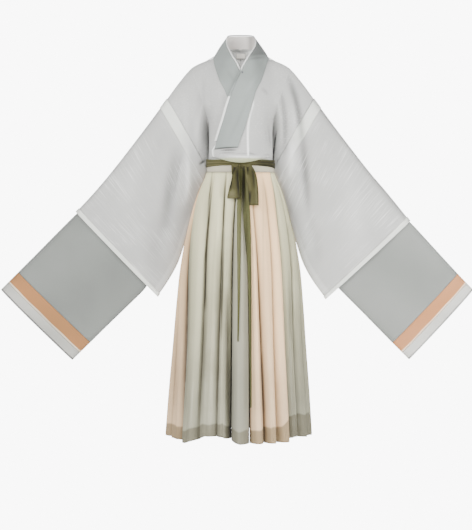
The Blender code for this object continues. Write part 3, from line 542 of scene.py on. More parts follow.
# ---- Sleeves ----
# Each sleeve is a wide tube of the same chiffon with slubs running parallel to the cuff, joined to the
# body by a double band on the outside, and finished at its end with a second, narrower white band.
SLEEVE = [  # top s, z; lower fold s, z; half depth; how far the lower fold swings back
    (0.25, -0.1295, 0.111, -0.365, 0.034, 0.036), (0.281, -0.171, 0.132, -0.434, 0.0335, 0.037),
    (0.312, -0.213, 0.165, -0.536, 0.033, 0.028), (0.375, -0.296, 0.1885, -0.612, 0.032, 0.02),
    (0.44, -0.379, 0.212, -0.684, 0.03, 0.012), (0.502, -0.452, 0.244, -0.744, 0.028, 0.005)]
SLEEVE_STATIONS = {  # the left sleeve is a little longer and its cuff shorter
    "left": np.array(SLEEVE + [(0.5763, -0.544, 0.2907, -0.8092, 0.026, 0.0)]),
    "right": np.array(SLEEVE + [(0.5593, -0.5134, 0.282, -0.8005, 0.026, 0.0)])}
JOINT_BAND = (0.0005, 0.125)        # share of the sleeve, as below
SLEEVE_BAND_AT = {"right": 0.969, "left": 0.976}
BAND_OUT, BAND_CLOTH = 0.0022, 0.001
RING = 144
SLEEVE_BORDER, BORDER_TONE = 0.026, 0.12
SLEEVE_RUMPLE, AHEAD_SEED, BEHIND_SEED = 0.0022, 8, 9
TOP_EDGE_SHADE = {"right": (0.008, 0.16), "left": (0.013, 0.24)}        # width and depth of the line of painted shade along the top fold


def run_along(line):
    """Length from the first point of a line to each: the sum of its steps."""
    return np.concatenate([[0], np.cumsum(np.linalg.norm(np.diff(line, axis=0), axis=1))])


def tube_rows(stations, places, hand, out=0.0):
    """Rings along a flattened sleeve: a lens between its two folds, moved out square to its own face."""
    row = through(places, np.linspace(0, 1, len(stations)), stations)
    top, low, depth, swing = row[:, 0:2], row[:, 2:4], row[:, 4:5], row[:, 5:6]
    length = np.linalg.norm(low - top, axis=1)[:, None]
    even = np.arange(RING // 2 + 1) / (RING // 2)
    h = 0.5 * even + 0.25 * (1 - np.cos(np.pi * even))
    h = np.concatenate([h[:-1], h[::-1]])
    side = np.concatenate([-np.ones(RING // 2), np.ones(RING // 2 + 1)])
    flat = stacked(h * length, side * depth * lens(h))
    ring = flat[:, :-1]
    step = np.roll(ring, -1, axis=1) - np.roll(ring, 1, axis=1)
    normal = stacked(step[..., 1], -step[..., 0])
    normal /= np.linalg.norm(normal, axis=2)[..., None]
    middle = ring.mean(axis=1)[:, None]
    normal *= np.sign(np.sum(normal * (ring - middle), axis=(1, 2)))[:, None, None]
    ring = ring + normal * out
    flat = np.concatenate([ring, ring[:, :1]], axis=1)
    along = (low - top) / length
    x = hand * (top[:, :1] + along[:, :1] * flat[..., 0])
    y = flat[..., 1] + swing * np.clip(flat[..., 0] / length, 0, 1) ** 1.5
    z = top[:, 1:] + along[:, 1:] * flat[..., 0]
    weave = stacked(np.where(side < 0, h, 2 - h) * length, run_along((top + low) / 2)[:, None])
    return stacked(x, y, z), weave, h * length


def tube_creases(points, from_top, side, hand, width):
    """The sleeve's folds, front and back each with its own, faded out at its two folded edges, with their
    painted shade and highlight, a line of painted shade along the top edge and a paler border low down
    along the lower one."""
    front = np.arange(RING + 1) <= RING // 2
    z = points[..., 2]
    keep = ease(np.minimum(from_top, width - from_top) / 0.03)
    ahead, tone_ahead = creased(points, -1, JACKET_FOLDS[side], hand, keep)
    behind, tone_behind = creased(points, 1, JACKET_FOLDS["back"], hand, keep)
    moved = np.where(front[:, None], rumple(ahead, -1, SLEEVE_RUMPLE, AHEAD_SEED, keep),
                     rumple(behind, 1, SLEEVE_RUMPLE, BEHIND_SEED, keep))
    border = ramp(width - from_top, SLEEVE_BORDER, -0.005) * ramp(z, -0.5, -0.06)
    line, shade = TOP_EDGE_SHADE[side]
    tone = np.where(front, tone_ahead, tone_behind) - shade * bell(from_top, line)
    # Painted light: the lower left sleeve a little lighter, the lower right one a little darker.
    return moved, tone + 0.02 * hand * ramp(z, -0.3, -0.3) + BORDER_TONE * border


DOUBLE, DOUBLE_HIGH = (0.66, 0.675, 0.62), (0.9, 0.91, 0.89)
sleeve_chiffon = woven("white_chiffon_slubbed", WHITE_DEEP, WHITE, WHITE_HIGH, streak=0.5,
                       along=(9.0, 300.0))
double_white = woven("double_white_band", (0.1, 0.1, 0.09), DOUBLE, DOUBLE_HIGH, bump=0.08)
joint_white = woven("joint_band_cloth", WHITE_DEEP, DOUBLE, DOUBLE_HIGH, bump=0.08,
                    edge=(0.36, 0.32, (0.42, 0.42, 0.405)))
for side, hand in SIDES:
    for name, places, out, thick, finish, slot, flat in (
            ("chiffon_sleeve_", (0, 1, 140), 0.0, CHIFFON, sleeve_chiffon, "white_chiffon", (0.72, 0.445)),
            ("white_joint_band_", (*JOINT_BAND, 10), BAND_OUT, BAND_CLOTH, joint_white, "band_cloth",
             (0.58, 0.038)),
            ("white_sleeve_band_", (SLEEVE_BAND_AT[side], 1, 6), BAND_OUT, BAND_CLOTH, double_white,
             "band_cloth", (0.8, 0.0155))):
        grid, weave, from_top = tube_rows(SLEEVE_STATIONS[side], np.linspace(*places), hand, out)
        width = from_top.max(axis=1)[:, None]
        grid, tone = tube_creases(grid, from_top, side, hand, width)
        place = stacked(tone, from_top / width)
        node = name.split("_", 1)[1] + side
        piece = cloth(name + side, [(grid, weave, place, hand < 0)], thick, [finish], [node])


# ---- Cuffs ----
# A wide flat cuff of plain grey cloth comes out of each sleeve. It carries a peach stripe with a thin
# cream piping and ends in an off-white band whose folded edge is painted darker as shade.
CUFF_STATIONS = {
    "left": np.array([
        (0.56, -0.534, 0.327, -0.766, 0.018, 0.0), (0.585, -0.556, 0.348, -0.788, 0.0195, 0.0),
        (0.636, -0.611, 0.404, -0.844, 0.021, 0.0), (0.688, -0.668, 0.461, -0.902, 0.021, 0.0),
        (0.739, -0.723, 0.517, -0.959, 0.021, 0.0), (0.7905, -0.777, 0.5729, -1.0146, 0.021, 0.0)]),
    "right": np.array([
        (0.544, -0.506, 0.313, -0.756, 0.018, 0.0), (0.569, -0.53, 0.331, -0.7815, 0.0195, 0.0),
        (0.633, -0.594, 0.389, -0.8385, 0.021, 0.0), (0.697, -0.659, 0.451, -0.8985, 0.021, 0.0),
        (0.756, -0.718, 0.511, -0.9575, 0.021, 0.0), (0.8143, -0.7766, 0.5715, -1.0166, 0.021, 0.0)])}
CUFF_FOOT, STRIPE, END_BAND = 0.7964, (0.798, 0.9134), (0.915, 1.0)        # shares of the length
CUFF_CLOTH, CUFF_ROUND = 0.0011, 0.69
CUFF_SIDE_LIGHT = {"cuff": 0.07, "cuff_stripe": 0.1645, "cuff_end": 0.112}        # painted light and shade: paler left, darker right
grey_cloth = woven("grey_cuff_cloth", (0.04, 0.042, 0.04), (0.179, 0.19, 0.175), (0.36, 0.36, 0.345),
                   bump=0.06)
peach_cloth = woven("peach_stripe_cloth", (0.11, 0.076, 0.035), (0.372, 0.16, 0.058), (0.527, 0.255, 0.136),
                    edge=(0.88, 0.02, (0.8, 0.68, 0.52)), bump=0.06)
# The end band's colour turns dark towards its folded edge: painted shade.
end_cloth = woven("off_white_cuff_end", (0.04, 0.04, 0.036), (0.44, 0.435, 0.395), (0.7, 0.7, 0.66),
                  edge=(0.79, 0.08, (0.13, 0.128, 0.12)), bump=0.06)
for side, hand in SIDES:
    for name, places, finish, slot, lengths in (
            ("cuff", (0, CUFF_FOOT, 40), grey_cloth, "grey_cloth", {"right": 0.3, "left": 0.263}),
            ("cuff_stripe", (*STRIPE, 10), peach_cloth, "peach_cloth", {"right": 0.0485, "left": 0.0425}),
            ("cuff_end", (*END_BAND, 10), end_cloth, "band_cloth", {"right": 0.0358, "left": 0.0315})):
        grid, weave, from_top = tube_rows(CUFF_STATIONS[side], np.linspace(*places), hand)
        share = np.linspace(0, 1, places[2])[:, None]
        # Painted light and shade: one cuff paler and the other darker, soft waves of tone, and painted
        # shade along both folded edges.
        tone = 0.5 + hand * CUFF_SIDE_LIGHT[name] + 0.04 * np.sin(from_top * 21 + share * 1.7 + hand)
        tone -= 0.1 * bell(np.minimum(from_top, from_top.max(axis=1)[:, None] - from_top), 0.01)
        place = stacked(tone, share + 0.012 * np.sin(from_top * 60 + hand))
        piece = cloth(f"plain_{name}_{side}", [(grid, weave, place, hand < 0)], CUFF_CLOTH, [finish],
                      [f"{name}_{side}"])


# ---- Collar ----
# One long celadon band, folded double and lined in beige, sewn round the neck: the left end runs down
# over the chest and the right end lies hidden beneath it. A thin white edging follows its inner edge.
NECK_COLLAR = np.array([  # outer edge x, y, z; inner edge x, y, z; from the centre back round to the throat
    (0.0, 0.0865, 0.04, 0.0, 0.064, 0.098), (0.03, 0.0822, 0.037, 0.022, 0.058, 0.0965),
    (0.06, 0.059, 0.031, 0.0385, 0.041, 0.092), (0.0825, 0.03, 0.015, 0.0465, 0.018, 0.084),
    (0.09, -0.002, 0.008, 0.048, -0.008, 0.07), (0.0905, -0.033, 0.001, 0.0465, -0.028, 0.047)])
CHEST_COLLAR = np.array([  # outer edge x, z; inner edge x, z; from the throat down over the chest
    (0.0885, -0.02, 0.033, 0.006), (0.08, -0.05, 0.015, -0.025), (0.0683, -0.0838, 0.002, -0.052),
    (0.052, -0.115, -0.013, -0.085), (0.042, -0.148, -0.028, -0.12), (0.033, -0.18, -0.042, -0.16),
    (0.024, -0.21, -0.054, -0.2), (0.013, -0.245, -0.068, -0.242), (0.0, -0.278, -0.08, -0.28),
    (-0.01, -0.306, -0.088, -0.308)])
UNDER_COLLAR_ROWS, BAND_COLS = 8, 5
EDGING_GAP, EDGING_NECK, EDGING_CHEST = 0.0008, 0.0035, 0.0075        # and its width at the neck and below
COLLAR_CLOTH, EDGING_CLOTH, COLLAR_STEPS = 0.0016, 0.0011, 12


def collar_half(level, last, edging):
    """Strips across the band from the centre back to one end: bulged while it stands, laid on the chest
    below the throat. The edging is a narrow strip just past the inner edge."""
    lower = level - LEVEL_UNDER_COLLAR
    rows = []
    for i, edge in enumerate(NECK_COLLAR):
        t = np.linspace(0, 1, BAND_COLS)
        if edging:
            t = 1 + np.array([EDGING_GAP, EDGING_GAP + EDGING_NECK]) / np.linalg.norm(edge[:3] - edge[3:])
        out = np.array([edge[0], edge[1], 0.0]) / math.hypot(edge[0], edge[1])
        bulge = 0.005 * np.sin(np.pi * np.clip(t, 0, 1)) + 0.0012 + lower * (i / len(NECK_COLLAR)) ** 2
        rows.append(lerp(edge[:3], edge[3:], t[:, None]) + out * bulge[:, None])
    for i, edge in enumerate(CHEST_COLLAR[:last]):
        rise = lerp(0.0042 + lower, level, float(ease(i / 4)))
        if i >= len(CHEST_COLLAR) - 2:
            rise = (level - 0.0006, LEVEL_AT_WAIST + 0.006)[i - len(CHEST_COLLAR) + 2]
        t = np.linspace(0, 1, BAND_COLS)
        if edging:
            strip = lerp(EDGING_NECK, EDGING_CHEST, float(ease((i - 2) / 3))) if lower else EDGING_NECK
            band = math.hypot(edge[0] - edge[2], edge[1] - edge[3])
            t = 1 + np.array([EDGING_GAP, EDGING_GAP + strip]) / band
        x, z = lerp(edge[0], edge[2], t), lerp(edge[1], edge[3], t)
        rows.append(stacked(x, -(chest_depth(x, z) + rise), z))
    return np.array(rows)


def collar_rows(edging):
    """The hidden right end, mirrored and reversed, then the left end."""
    left = collar_half(LEVEL_COLLAR, len(CHEST_COLLAR) - edging, edging)
    right = collar_half(LEVEL_UNDER_COLLAR, UNDER_COLLAR_ROWS, edging) * np.array([-1.0, 1.0, 1.0])
    return np.concatenate([right[:0:-1], left])


COLLAR_FOLDS = [  # as the jacket's, painting shade where the band starts to stand, beside its crossing edge and along its foot, and shade and highlight in its creases
    (0.015, -0.017, 0.092, 0.008, 0.0, 0.005, -0.0012, -0.16),
    (0.0035, -0.05, -0.019, -0.094, 0.0, 0.002, 0.0, -0.2),
    (-0.11, -0.3068, 0.01, -0.3045, 0.0, 0.0026, 0.0, -0.55),
    (0.03, -0.12, -0.05, -0.3, 0.004, 0.006, -0.001, -0.05),
    (-0.05, -0.04, -0.014, -0.1, 0.002, 0.006, -0.0008, -0.05),
    (0.062, -0.05, 0.012, -0.13, 0.002, 0.007, 0.001, 0.05)]


def collar_tone(points, tone, width, edging):
    """The collar's tone from its folds, with painted shade on the left of the neck, below it, and where the
    standing band turns away from the light. Behind the neck a painted shadow runs along its seam, and a
    streak beside the shoulder is darker."""
    x, y, z = (points[..., k] for k in range(3))
    tone = tone - 0.08 * ramp(x, 0.03, 0.03) - 0.06 * ramp(z, -0.11, 0.05)
    turned = ramp(z - 0.3 * (x - 0.0215), -0.013, 0.014) * ramp(x, 0.0, 0.02) * ramp(y, 0.03, -0.03)
    behind = 0.8 * bell(width, 0.006) + 0.22 * bell(x - 0.036, 0.01)
    return tone - 0.24 * (1 - edging) * turned - behind * ramp(y, 0.03, 0.02)


COLLAR_DEEP, COLLAR_GREEN = (0.035, 0.037, 0.034), (0.232, 0.256, 0.242)
celadon = woven("celadon_collar_cloth", COLLAR_DEEP, COLLAR_GREEN, (0.42, 0.44, 0.42), roughness=0.75,
                bump=0.05)
beige = woven("beige_collar_lining", (0.12, 0.11, 0.1), (0.96, 0.91, 0.86), (0.96, 0.93, 0.9), bump=0.05)
edging_cloth = woven("collar_edging_cloth", COLLAR_DEEP, COLLAR_GREEN, (0.85, 0.86, 0.84), bump=0.05,
                     edge=(0.4, 0.2, (0.78, 0.79, 0.76)))
for name, edging, thick, finishes, slot, node, flat, area in (
        ("celadon_collar", 0, COLLAR_CLOTH, [celadon, beige], "celadon_cloth", "collar",
         (0.083, 0.9), 0.0747),
        ("white_collar_edging", 1, EDGING_CLOTH, [edging_cloth], "band_cloth", "collar_edging",
         (0.01, 0.9), 0.0053)):
    grid = across(down(collar_rows(edging), COLLAR_STEPS), 2 if edging else 8)
    grid, tone = creased(grid, -1, COLLAR_FOLDS)
    width = run_along(grid[0])
    weave = stacked(width, run_along(grid[:, 0])[:, None])
    x, z = grid[..., 0], grid[..., 2]
    white = ramp(z, -0.125, -0.02) * ramp(x, 0.0, -0.004) + ramp(z, -0.05, 0.006)
    place = stacked(collar_tone(grid, tone, width, edging), white)
    piece = cloth(name, [(grid, weave, place, False)], thick, finishes, [node])


# ---- Neck label ----
# A small plain label of cream ribbon hangs from the collar seam inside the back of the neck.
# It is blank.
LABEL_LEFT, LABEL_RIGHT, LABEL_FOOT, LABEL_TOP = -0.016, 0.018, 0.021, 0.041
LABEL_Y, LABEL_CLOTH = 0.0795, 0.0006
label_ribbon = woven("label_ribbon", (0.05, 0.05, 0.045), (0.94, 0.91, 0.84), (0.9, 0.9, 0.86), streak=0.2,
                     along=(200.0, 1500.0))
x, z = np.meshgrid(np.linspace(LABEL_LEFT, LABEL_RIGHT, 18), np.linspace(LABEL_TOP, LABEL_FOOT, 12))
grid = stacked(x, LABEL_Y - 4.0 * x**2 - 0.0006 * np.sin((x - z) * 160), z)
rim = np.minimum(np.minimum(x - LABEL_LEFT, LABEL_RIGHT - x), np.minimum(z - LABEL_FOOT, LABEL_TOP - z))
# The label's rim is painted darker as shade.
weave, place = flat_maps(grid, 0.5 - 0.42 * bell(rim, 0.0016))
label = cloth("blank_neck_label", [(grid, weave, place, True)], LABEL_CLOTH, [label_ribbon],
              ["neck_label"])


# ---- Press stud ----
# A small dark metal stud closes the collar at the throat; its cap is a low dome with a rolled rim.
# One half is set into each end of the band, and they press together.
STUD_X, STUD_Z, STUD_R, STUD_WALL = 0.0055, -0.057, 0.0034, 0.0006
STUD_PROFILE = np.array([  # radius share, height
    (0.0, 0.002), (0.35, 0.0019), (0.62, 0.0015), (0.72, 0.0013), (0.84, 0.0017), (0.95, 0.0015),
    (1.0, 0.0009), (1.0, 0.0)])
turn = np.linspace(0, 2 * np.pi, 33)
ring = STUD_R * STUD_PROFILE[:, :1]
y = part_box("snap")[1].y - STUD_PROFILE[:, 1:]
grid = stacked(STUD_X + ring * np.sin(turn), y, STUD_Z + ring * np.cos(turn))
metal, tree = new_material("dark_stud_metal")
where = new_node(tree, "TexCoord", {}).outputs["Object"]
worn = new_node(tree, "TexNoise", {"Vector": where, "Scale": 900.0}).outputs["Fac"]
spread = new_node(tree, "ValToRGB", {"Fac": worn})
spread.color_ramp.elements[0].color = (0.05, 0.05, 0.055, 1)
spread.color_ramp.elements[1].color = (0.12, 0.12, 0.13, 1)
feed(tree, tree.nodes["Principled BSDF"],
     {"Base Color": spread.outputs["Color"], "Metallic": 0.8, "Roughness": 0.4})
flat_plan = grid[..., [0, 2]]
cloth("dark_press_stud", [(grid, flat_plan, flat_plan, False)], STUD_WALL, [metal], ["snap"])


# ---- Waistband and belt ----
# The skirt hangs from a cream waistband. Over it lies the flat part of a sheer olive ribbon, wider at the
# sides and drawn together in front, where the blouse of the jacket falls over it.
WAISTBAND_TOP, WAISTBAND_FOOT = -0.346, -0.379
WAISTBAND_CLOTH, BELT_CLOTH, BELT_OUT, BELT_RIPPLE = 0.0016, 0.0007, 0.0028, 0.0007
BELT_EDGE = np.array([  # angle from the front towards the left side, height of top and foot before the dip
    (-180, -0.338, -0.362), (-120, -0.337, -0.362), (-85, -0.334, -0.362), (-60, -0.336, -0.36),
    (-30, -0.338, -0.357), (0, -0.338, -0.357), (30, -0.338, -0.358), (60, -0.338, -0.362),
    (85, -0.337, -0.366), (120, -0.337, -0.364), (180, -0.338, -0.362)])
BELT_FOLDS, WAIST_STEPS = 5, 145


def waist_rows(top, foot, out, count, ripple):
    """Rings round the waist from foot to top, dipped in front, with lengthwise ripples of this height."""
    angle = np.linspace(0, 2 * np.pi, WAIST_STEPS)
    v = np.linspace(0, 1, count)[:, None]
    z = lerp(foot, top, v) - WAIST_DIP * np.cos(angle)
    wave = np.sin(v * np.pi * BELT_FOLDS + 1.3 * np.sin(angle * 2)) * np.sin(np.pi * v) ** 0.3
    off = out + ripple * wave * (0.6 + 0.4 * np.cos(angle * 3 + 1))
    x, y = (WAIST_A + off) * np.sin(angle), -(WAIST_B + off) * np.cos(angle)
    weave = stacked(angle * 0.1, z)
    # Painted highlight on the ripples' crests and painted shade in their troughs; darker along the foot.
    tone = 0.5 + 220 * ripple * wave - 0.12 * bell(v, 0.1)
    return stacked(x, y, z), weave, stacked(tone, v)


cream = woven("cream_waistband_cloth", (0.05, 0.047, 0.04), (0.405, 0.375, 0.285), (0.55, 0.52, 0.45))
grid, weave, place = waist_rows(WAISTBAND_TOP, WAISTBAND_FOOT, 0.0, 10, 0.0)
band = cloth("cream_waistband", [(grid, weave, place, False)], WAISTBAND_CLOTH, [cream],
             ["skirt_waistband"])
OLIVE_DEEP = (0.008, 0.007, 0.001)
olive = woven("olive_ribbon", OLIVE_DEEP, (0.048, 0.044, 0.014), (0.125, 0.116, 0.06), streak=0.12,
              along=(30.0, 1500.0), roughness=0.7, sheen=0.02)
angle = (np.linspace(0, 360, WAIST_STEPS) + 180) % 360 - 180
top, foot = read(BELT_EDGE, angle), read(BELT_EDGE, angle, 2)
grid, weave, place = waist_rows(top, foot, BELT_OUT, 16, BELT_RIPPLE)
# Painted light and shade round the belt: lighter round the right side, much darker round the left side.
place[..., 0] += 0.1 * ramp(angle, -20, -30) - 0.36 * ramp(angle, 12, 30) * ramp(angle, 130, -40)
belt = cloth("olive_belt", [(grid, weave, place, False)], BELT_CLOTH, [olive], ["belt"])


# ---- Skirt ----
# Eight tinted chiffon panels, pleated into the waistband and sewn to each other in the valleys of the
# folds, open into soft uneven flutes. A cream lining stops short of the hem, so the border looks darker.
SKIRT_TOP, HEM_Z = WAISTBAND_FOOT - 0.0006, -1.268
SKIRT_FORM = np.array([  # z, half width, half depth of the folds' inner line, from the hem up
    (-1.268, 0.231, 0.197), (-1.125, 0.2235, 0.187), (-0.962, 0.213, 0.175), (-0.826, 0.205, 0.164),
    (-0.7, 0.195, 0.152), (-0.626, 0.184, 0.143), (-0.54, 0.166, 0.13), (-0.472, 0.148, 0.117),
    (-0.432, 0.1345, 0.1065), (-0.396, 0.119, 0.0945), (-0.38, 0.1135, 0.0875)])
FLUTES = [  # angle of a fold's start at waist and hem, how soon it is there; crest, valley, hem lift; panel
    (-106, -92.0, 1.5, 0.014, 0.004, 0.0, "left_peach"),
    (-98, -73.0, 2.2, 0.014, 0.004, 0.002, "left_peach"),
    (-89, -53.0, 3.0, 0.022, 0.004, -0.006, "front_sage"),
    (-50, -35.5, 8.0, 0.012, 0.01, 0.02, "front_sage"), (-24, -18.5, 8.0, 0.012, 0.004, 0.02, "front_sage"),
    (-4, -8.0, 8.0, 0.03, 0.045, 0.0, "front_green"), (5, 8.6, 3.0, 0.026, 0.008, 0.0, "front_peach"),
    (14.5, 20.3, 1.3, 0.03, 0.008, 0.0, "front_peach"), (38, 30.5, 4.0, 0.028, 0.003, 0.0, "front_peach"),
    (62, 44.0, 8.0, 0.012, 0.014, 0.012, "right_sage"), (75, 55.0, 3.0, 0.018, 0.006, 0.006, "right_sage"),
    (88, 70.0, 2.0, 0.014, 0.006, 0.004, "right_sage"),
    (101, 87.0, 2.0, 0.014, 0.004, 0.0, "back_right_peach"),
    (115, 105.0, 2.0, 0.018, 0.006, 0.0, "back_right_peach"),
    (131, 122.0, 2.0, 0.024, 0.012, -0.004, "back_right_peach"),
    (148, 140.0, 2.0, 0.02, 0.006, 0.0, "back_green"), (164, 157.0, 2.0, 0.026, 0.01, 0.0, "back_green"),
    (180, 174.0, 2.0, 0.022, 0.012, 0.002, "back_green"), (196, 192.0, 2.0, 0.026, 0.006, 0.0, "back_sage"),
    (213, 210.0, 2.0, 0.02, 0.012, 0.0, "back_sage"), (228, 228.0, 2.0, 0.024, 0.008, -0.003, "back_sage"),
    (242, 248.0, 2.0, 0.018, 0.006, 0.0, "back_sage")]
SKIRT_FOLDS = [  # x, z of both ends; bow, half width, depth and tone (minus: painted shade, plus: painted highlight), over the front of the skirt
    (-0.09, -0.34, -0.111, -0.64, -0.004, 0.0028, -0.0022, -0.42),
    (-0.111, -0.56, -0.115, -0.86, -0.002, 0.0036, -0.0028, -0.38),
    (-0.116, -0.76, -0.133, -1.24, 0.002, 0.007, -0.0045, -0.17),
    (-0.044, -0.34, -0.056, -0.64, -0.004, 0.0028, -0.0016, -0.28),
    (-0.056, -0.56, -0.064, -0.96, 0.0, 0.0044, -0.003, -0.34),
    (-0.044, -0.56, -0.043, -0.98, 0.0, 0.013, -0.003, -0.08),
    (-0.044, -0.74, -0.0435, -1.26, 0.0, 0.0115, -0.004, -0.33),
    (-0.0335, -0.72, -0.0325, -1.26, 0.0, 0.0055, 0.0, 0.17),
    (-0.13, -0.4, -0.14, -1.15, 0.002, 0.011, 0.002, 0.1),
    (-0.076, -0.36, -0.082, -0.66, 0.004, 0.012, 0.003, 0.1),
    (0.05, -0.56, 0.069, -1.13, 0.0, 0.003, -0.0022, -0.2),
    (0.064, -0.96, 0.077, -1.29, 0.0, 0.005, -0.0024, -0.2),
    (0.0745, -0.36, 0.0735, -0.84, 0.0, 0.003, -0.0014, -0.08),
    (0.044, -0.52, 0.054, -1.18, 0.0, 0.008, 0.001, 0.09),
    (0.104, -0.46, 0.126, -1.22, 0.004, 0.02, 0.002, 0.08),
    (0.174, -0.56, 0.176, -0.96, 0.002, 0.007, 0.003, 0.12),
    (0.16, -0.64, 0.17, -1.24, 0.0, 0.006, -0.003, -0.1),
    (0.196, -0.76, 0.212, -1.22, 0.0, 0.008, -0.003, -0.08),
    (-0.169, -0.48, -0.184, -1.4, 0.0, 0.015, -0.002, -0.24),
    (-0.216, -0.86, -0.22, -1.36, 0.0, 0.012, -0.002, -0.11),
    (-0.106, -0.56, -0.118, -1.26, 0.0, 0.01, -0.001, -0.14),
    (-0.072, -0.56, -0.08, -1.3, 0.0, 0.011, -0.002, -0.2),
    (-0.024, -0.74, -0.026, -1.02, 0.0, 0.01, 0.0, 0.1),
    (0.162, -0.7, 0.164, -0.96, 0.0, 0.009, 0.0, -0.08),
    (-0.162, -0.56, -0.19, -1.24, -0.004, 0.006, -0.002, -0.06),
    (-0.208, -0.78, -0.22, -1.24, 0.0, 0.009, -0.003, -0.05)]
# The same over the back of the skirt: troughs with painted shade, ridges with painted highlight.
BACK_FOLDS = [
    (0.09, -0.36, 0.13, -1.24, 0.006, 0.006, -0.003, -0.16),
    (0.03, -0.36, 0.04, -1.1, 0.004, 0.005, -0.0026, -0.14),
    (-0.05, -0.36, -0.076, -1.24, 0.006, 0.007, -0.0034, -0.18),
    (-0.11, -0.44, -0.16, -1.2, 0.006, 0.006, -0.003, -0.14),
    (0.065, -0.42, 0.085, -1.18, 0.004, 0.013, 0.0026, 0.09),
    (-0.01, -0.42, -0.016, -1.2, 0.004, 0.014, 0.0026, 0.09),
    (-0.08, -0.42, -0.11, -1.2, 0.004, 0.013, 0.0026, 0.08),
    (0.16, -0.56, 0.19, -1.24, 0.006, 0.008, -0.003, -0.12),
    (-0.19, -0.64, -0.21, -1.24, 0.004, 0.008, -0.0026, -0.1),
    (0.125, -0.52, 0.15, -1.2, 0.004, 0.011, 0.002, 0.08)]
PLEAT_DEPTH, PANEL_SEAM, SKIRT_LEAN = 0.0026, 0.0004, -0.005
EDGE_DEPTH, LESSER_FOLDS = 0.0045, 0.0022        # depth of a pressed edge, and of the slow folds between
PLEAT_EDGE = (0.3, 0.4, 0.6, 1.0, 1.0, 0.9, 1.0, 0.8, 0.4, 0.8, 0.7,        # how sharp, a fold each
              0.5, 0.3, 0.6, 0.8, 0.5, 0.9, 0.6, 0.9, 0.7, 0.8, 0.4)
STEPS_ROUND, STEPS_DOWN, SKIRT_CLOTH = 22, 110, 0.0009


def flute_table(column):
    """One column of the flute table with the first fold repeated a full turn on."""
    values = [row[column] for row in FLUTES]
    return np.array(values + [values[0] + (360 if column < 2 else 0)], float)


def skirt_rows(u, v, seam):
    """Places on the skirt: u counts flutes round from the left side, v runs from waistband to hem. Each
    flute is a sine arch that grows with v on the oval of the folds' inner line, with a pressed pleat edge
    at its start that dies away downwards, and slow lesser folds riding on it."""
    u, v = np.meshgrid(u, v)
    i = np.clip(np.floor(u).astype(int), 0, len(FLUTES) - 1)
    p = u - i
    begin, finish = (lerp(flute_table(0)[k], flute_table(1)[k], 1 - (1 - v) ** flute_table(2)[k])
                     for k in (i, i + 1))
    angle = np.radians(lerp(begin, finish, p))
    bump = np.sin(np.pi * p ** lerp(0.6, 1.0, ease(v / 0.35))) ** 0.8
    crest = PLEAT_DEPTH + flute_table(3)[i] * v
    valley = np.where(p < 0.5, flute_table(4)[i], flute_table(4)[i + 1]) * v
    lifts = np.concatenate([[FLUTES[-1][5]], flute_table(5)])
    z = lerp(SKIRT_TOP, HEM_Z + np.interp(u, np.arange(len(FLUTES) + 2) - 0.5, lifts), v)
    sharp = np.array(PLEAT_EDGE + PLEAT_EDGE[:1])
    edge = bell(p, 0.05) * sharp[i] + bell(1 - p, 0.05) * sharp[i + 1]
    slow = np.sin(u * 12.0 + 2.2 * v) * np.sin(u * 1.7 + 1.0) + 0.7 * np.sin(u * 19.3 - 1.5 * v + 0.6)
    off = crest * bump - valley * (1 - bump) ** 1.5 - EDGE_DEPTH * edge * ease(v / 0.04) * (1.1 - 0.6 * v)
    off += LESSER_FOLDS * slow * bump * v**0.6 * ease((1 - v) / 0.02 + 0.6)
    half_width, half_depth = (read(SKIRT_FORM, z, k) + off for k in (1, 2))
    angle = angle + seam / half_width
    dip = WAIST_DIP * (1 - ease(v / 0.3))
    x = half_width * np.sin(angle) + SKIRT_LEAN * v
    points = stacked(x, -half_depth * np.cos(angle), z - dip * np.cos(angle))
    run = run_along(points[-1])
    keep = ease(np.abs(points[..., 1]) / 0.06) * ease(v / 0.03) * ease((1 - v) / 0.02 + 0.5)
    behind = points[..., 1] > 0
    front, tone_front = creased(points, -1, SKIRT_FOLDS, 1, keep)
    back, tone_back = creased(points, 1, BACK_FOLDS, 1, keep)
    # Painted shade along the panel seams in the valleys and along the pressed pleat edges.
    seams = bell(np.minimum(run, run[-1] - run), 0.0035) * ramp(v, 0.1, 0.5)
    tone = np.where(behind, tone_back, tone_front) - 0.18 * seams - 0.06 * edge
    tone, early = skirt_tone(points, v, bump, behind, tone)
    place = stacked(tone, v + early + 0.004 * np.sin(7.3 * u) * np.sin(2.9 * u + 1))
    return np.where(behind[..., None], back, front), stacked(run, (SKIRT_TOP - HEM_Z) * v), place


def skirt_tone(points, v, bump, behind, tone):
    """The skirt's tone and how early its border starts. It is painted darker as shade in the valleys,
    darker all down the lined part, painted with a streak of shadow along each side, and painted darker as
    shade in front towards both sides, more on the left one."""
    x, y, z = (points[..., k] for k in range(3))
    tone = tone - 0.2 * np.clip(1 - bump, 0, 1) ** 2 * ramp(v, 0, 0.1)
    tone = tone - 0.075 * ramp(v, 0, 0.15) * ramp(v, 0.95, -0.1)
    tone = tone - 0.34 * bell(y, 0.01) * ramp(z, -0.66, 0.12)
    tone = tone - (0.1 * ramp(x, 0.135, 0.04) + 0.02 * ramp(x, -0.16, -0.03)) * ~behind
    return tone, (0.01 * ramp(x, 0.05, 0.03) + 0.026 * ramp(x, 0.13, 0.03)) * ~behind


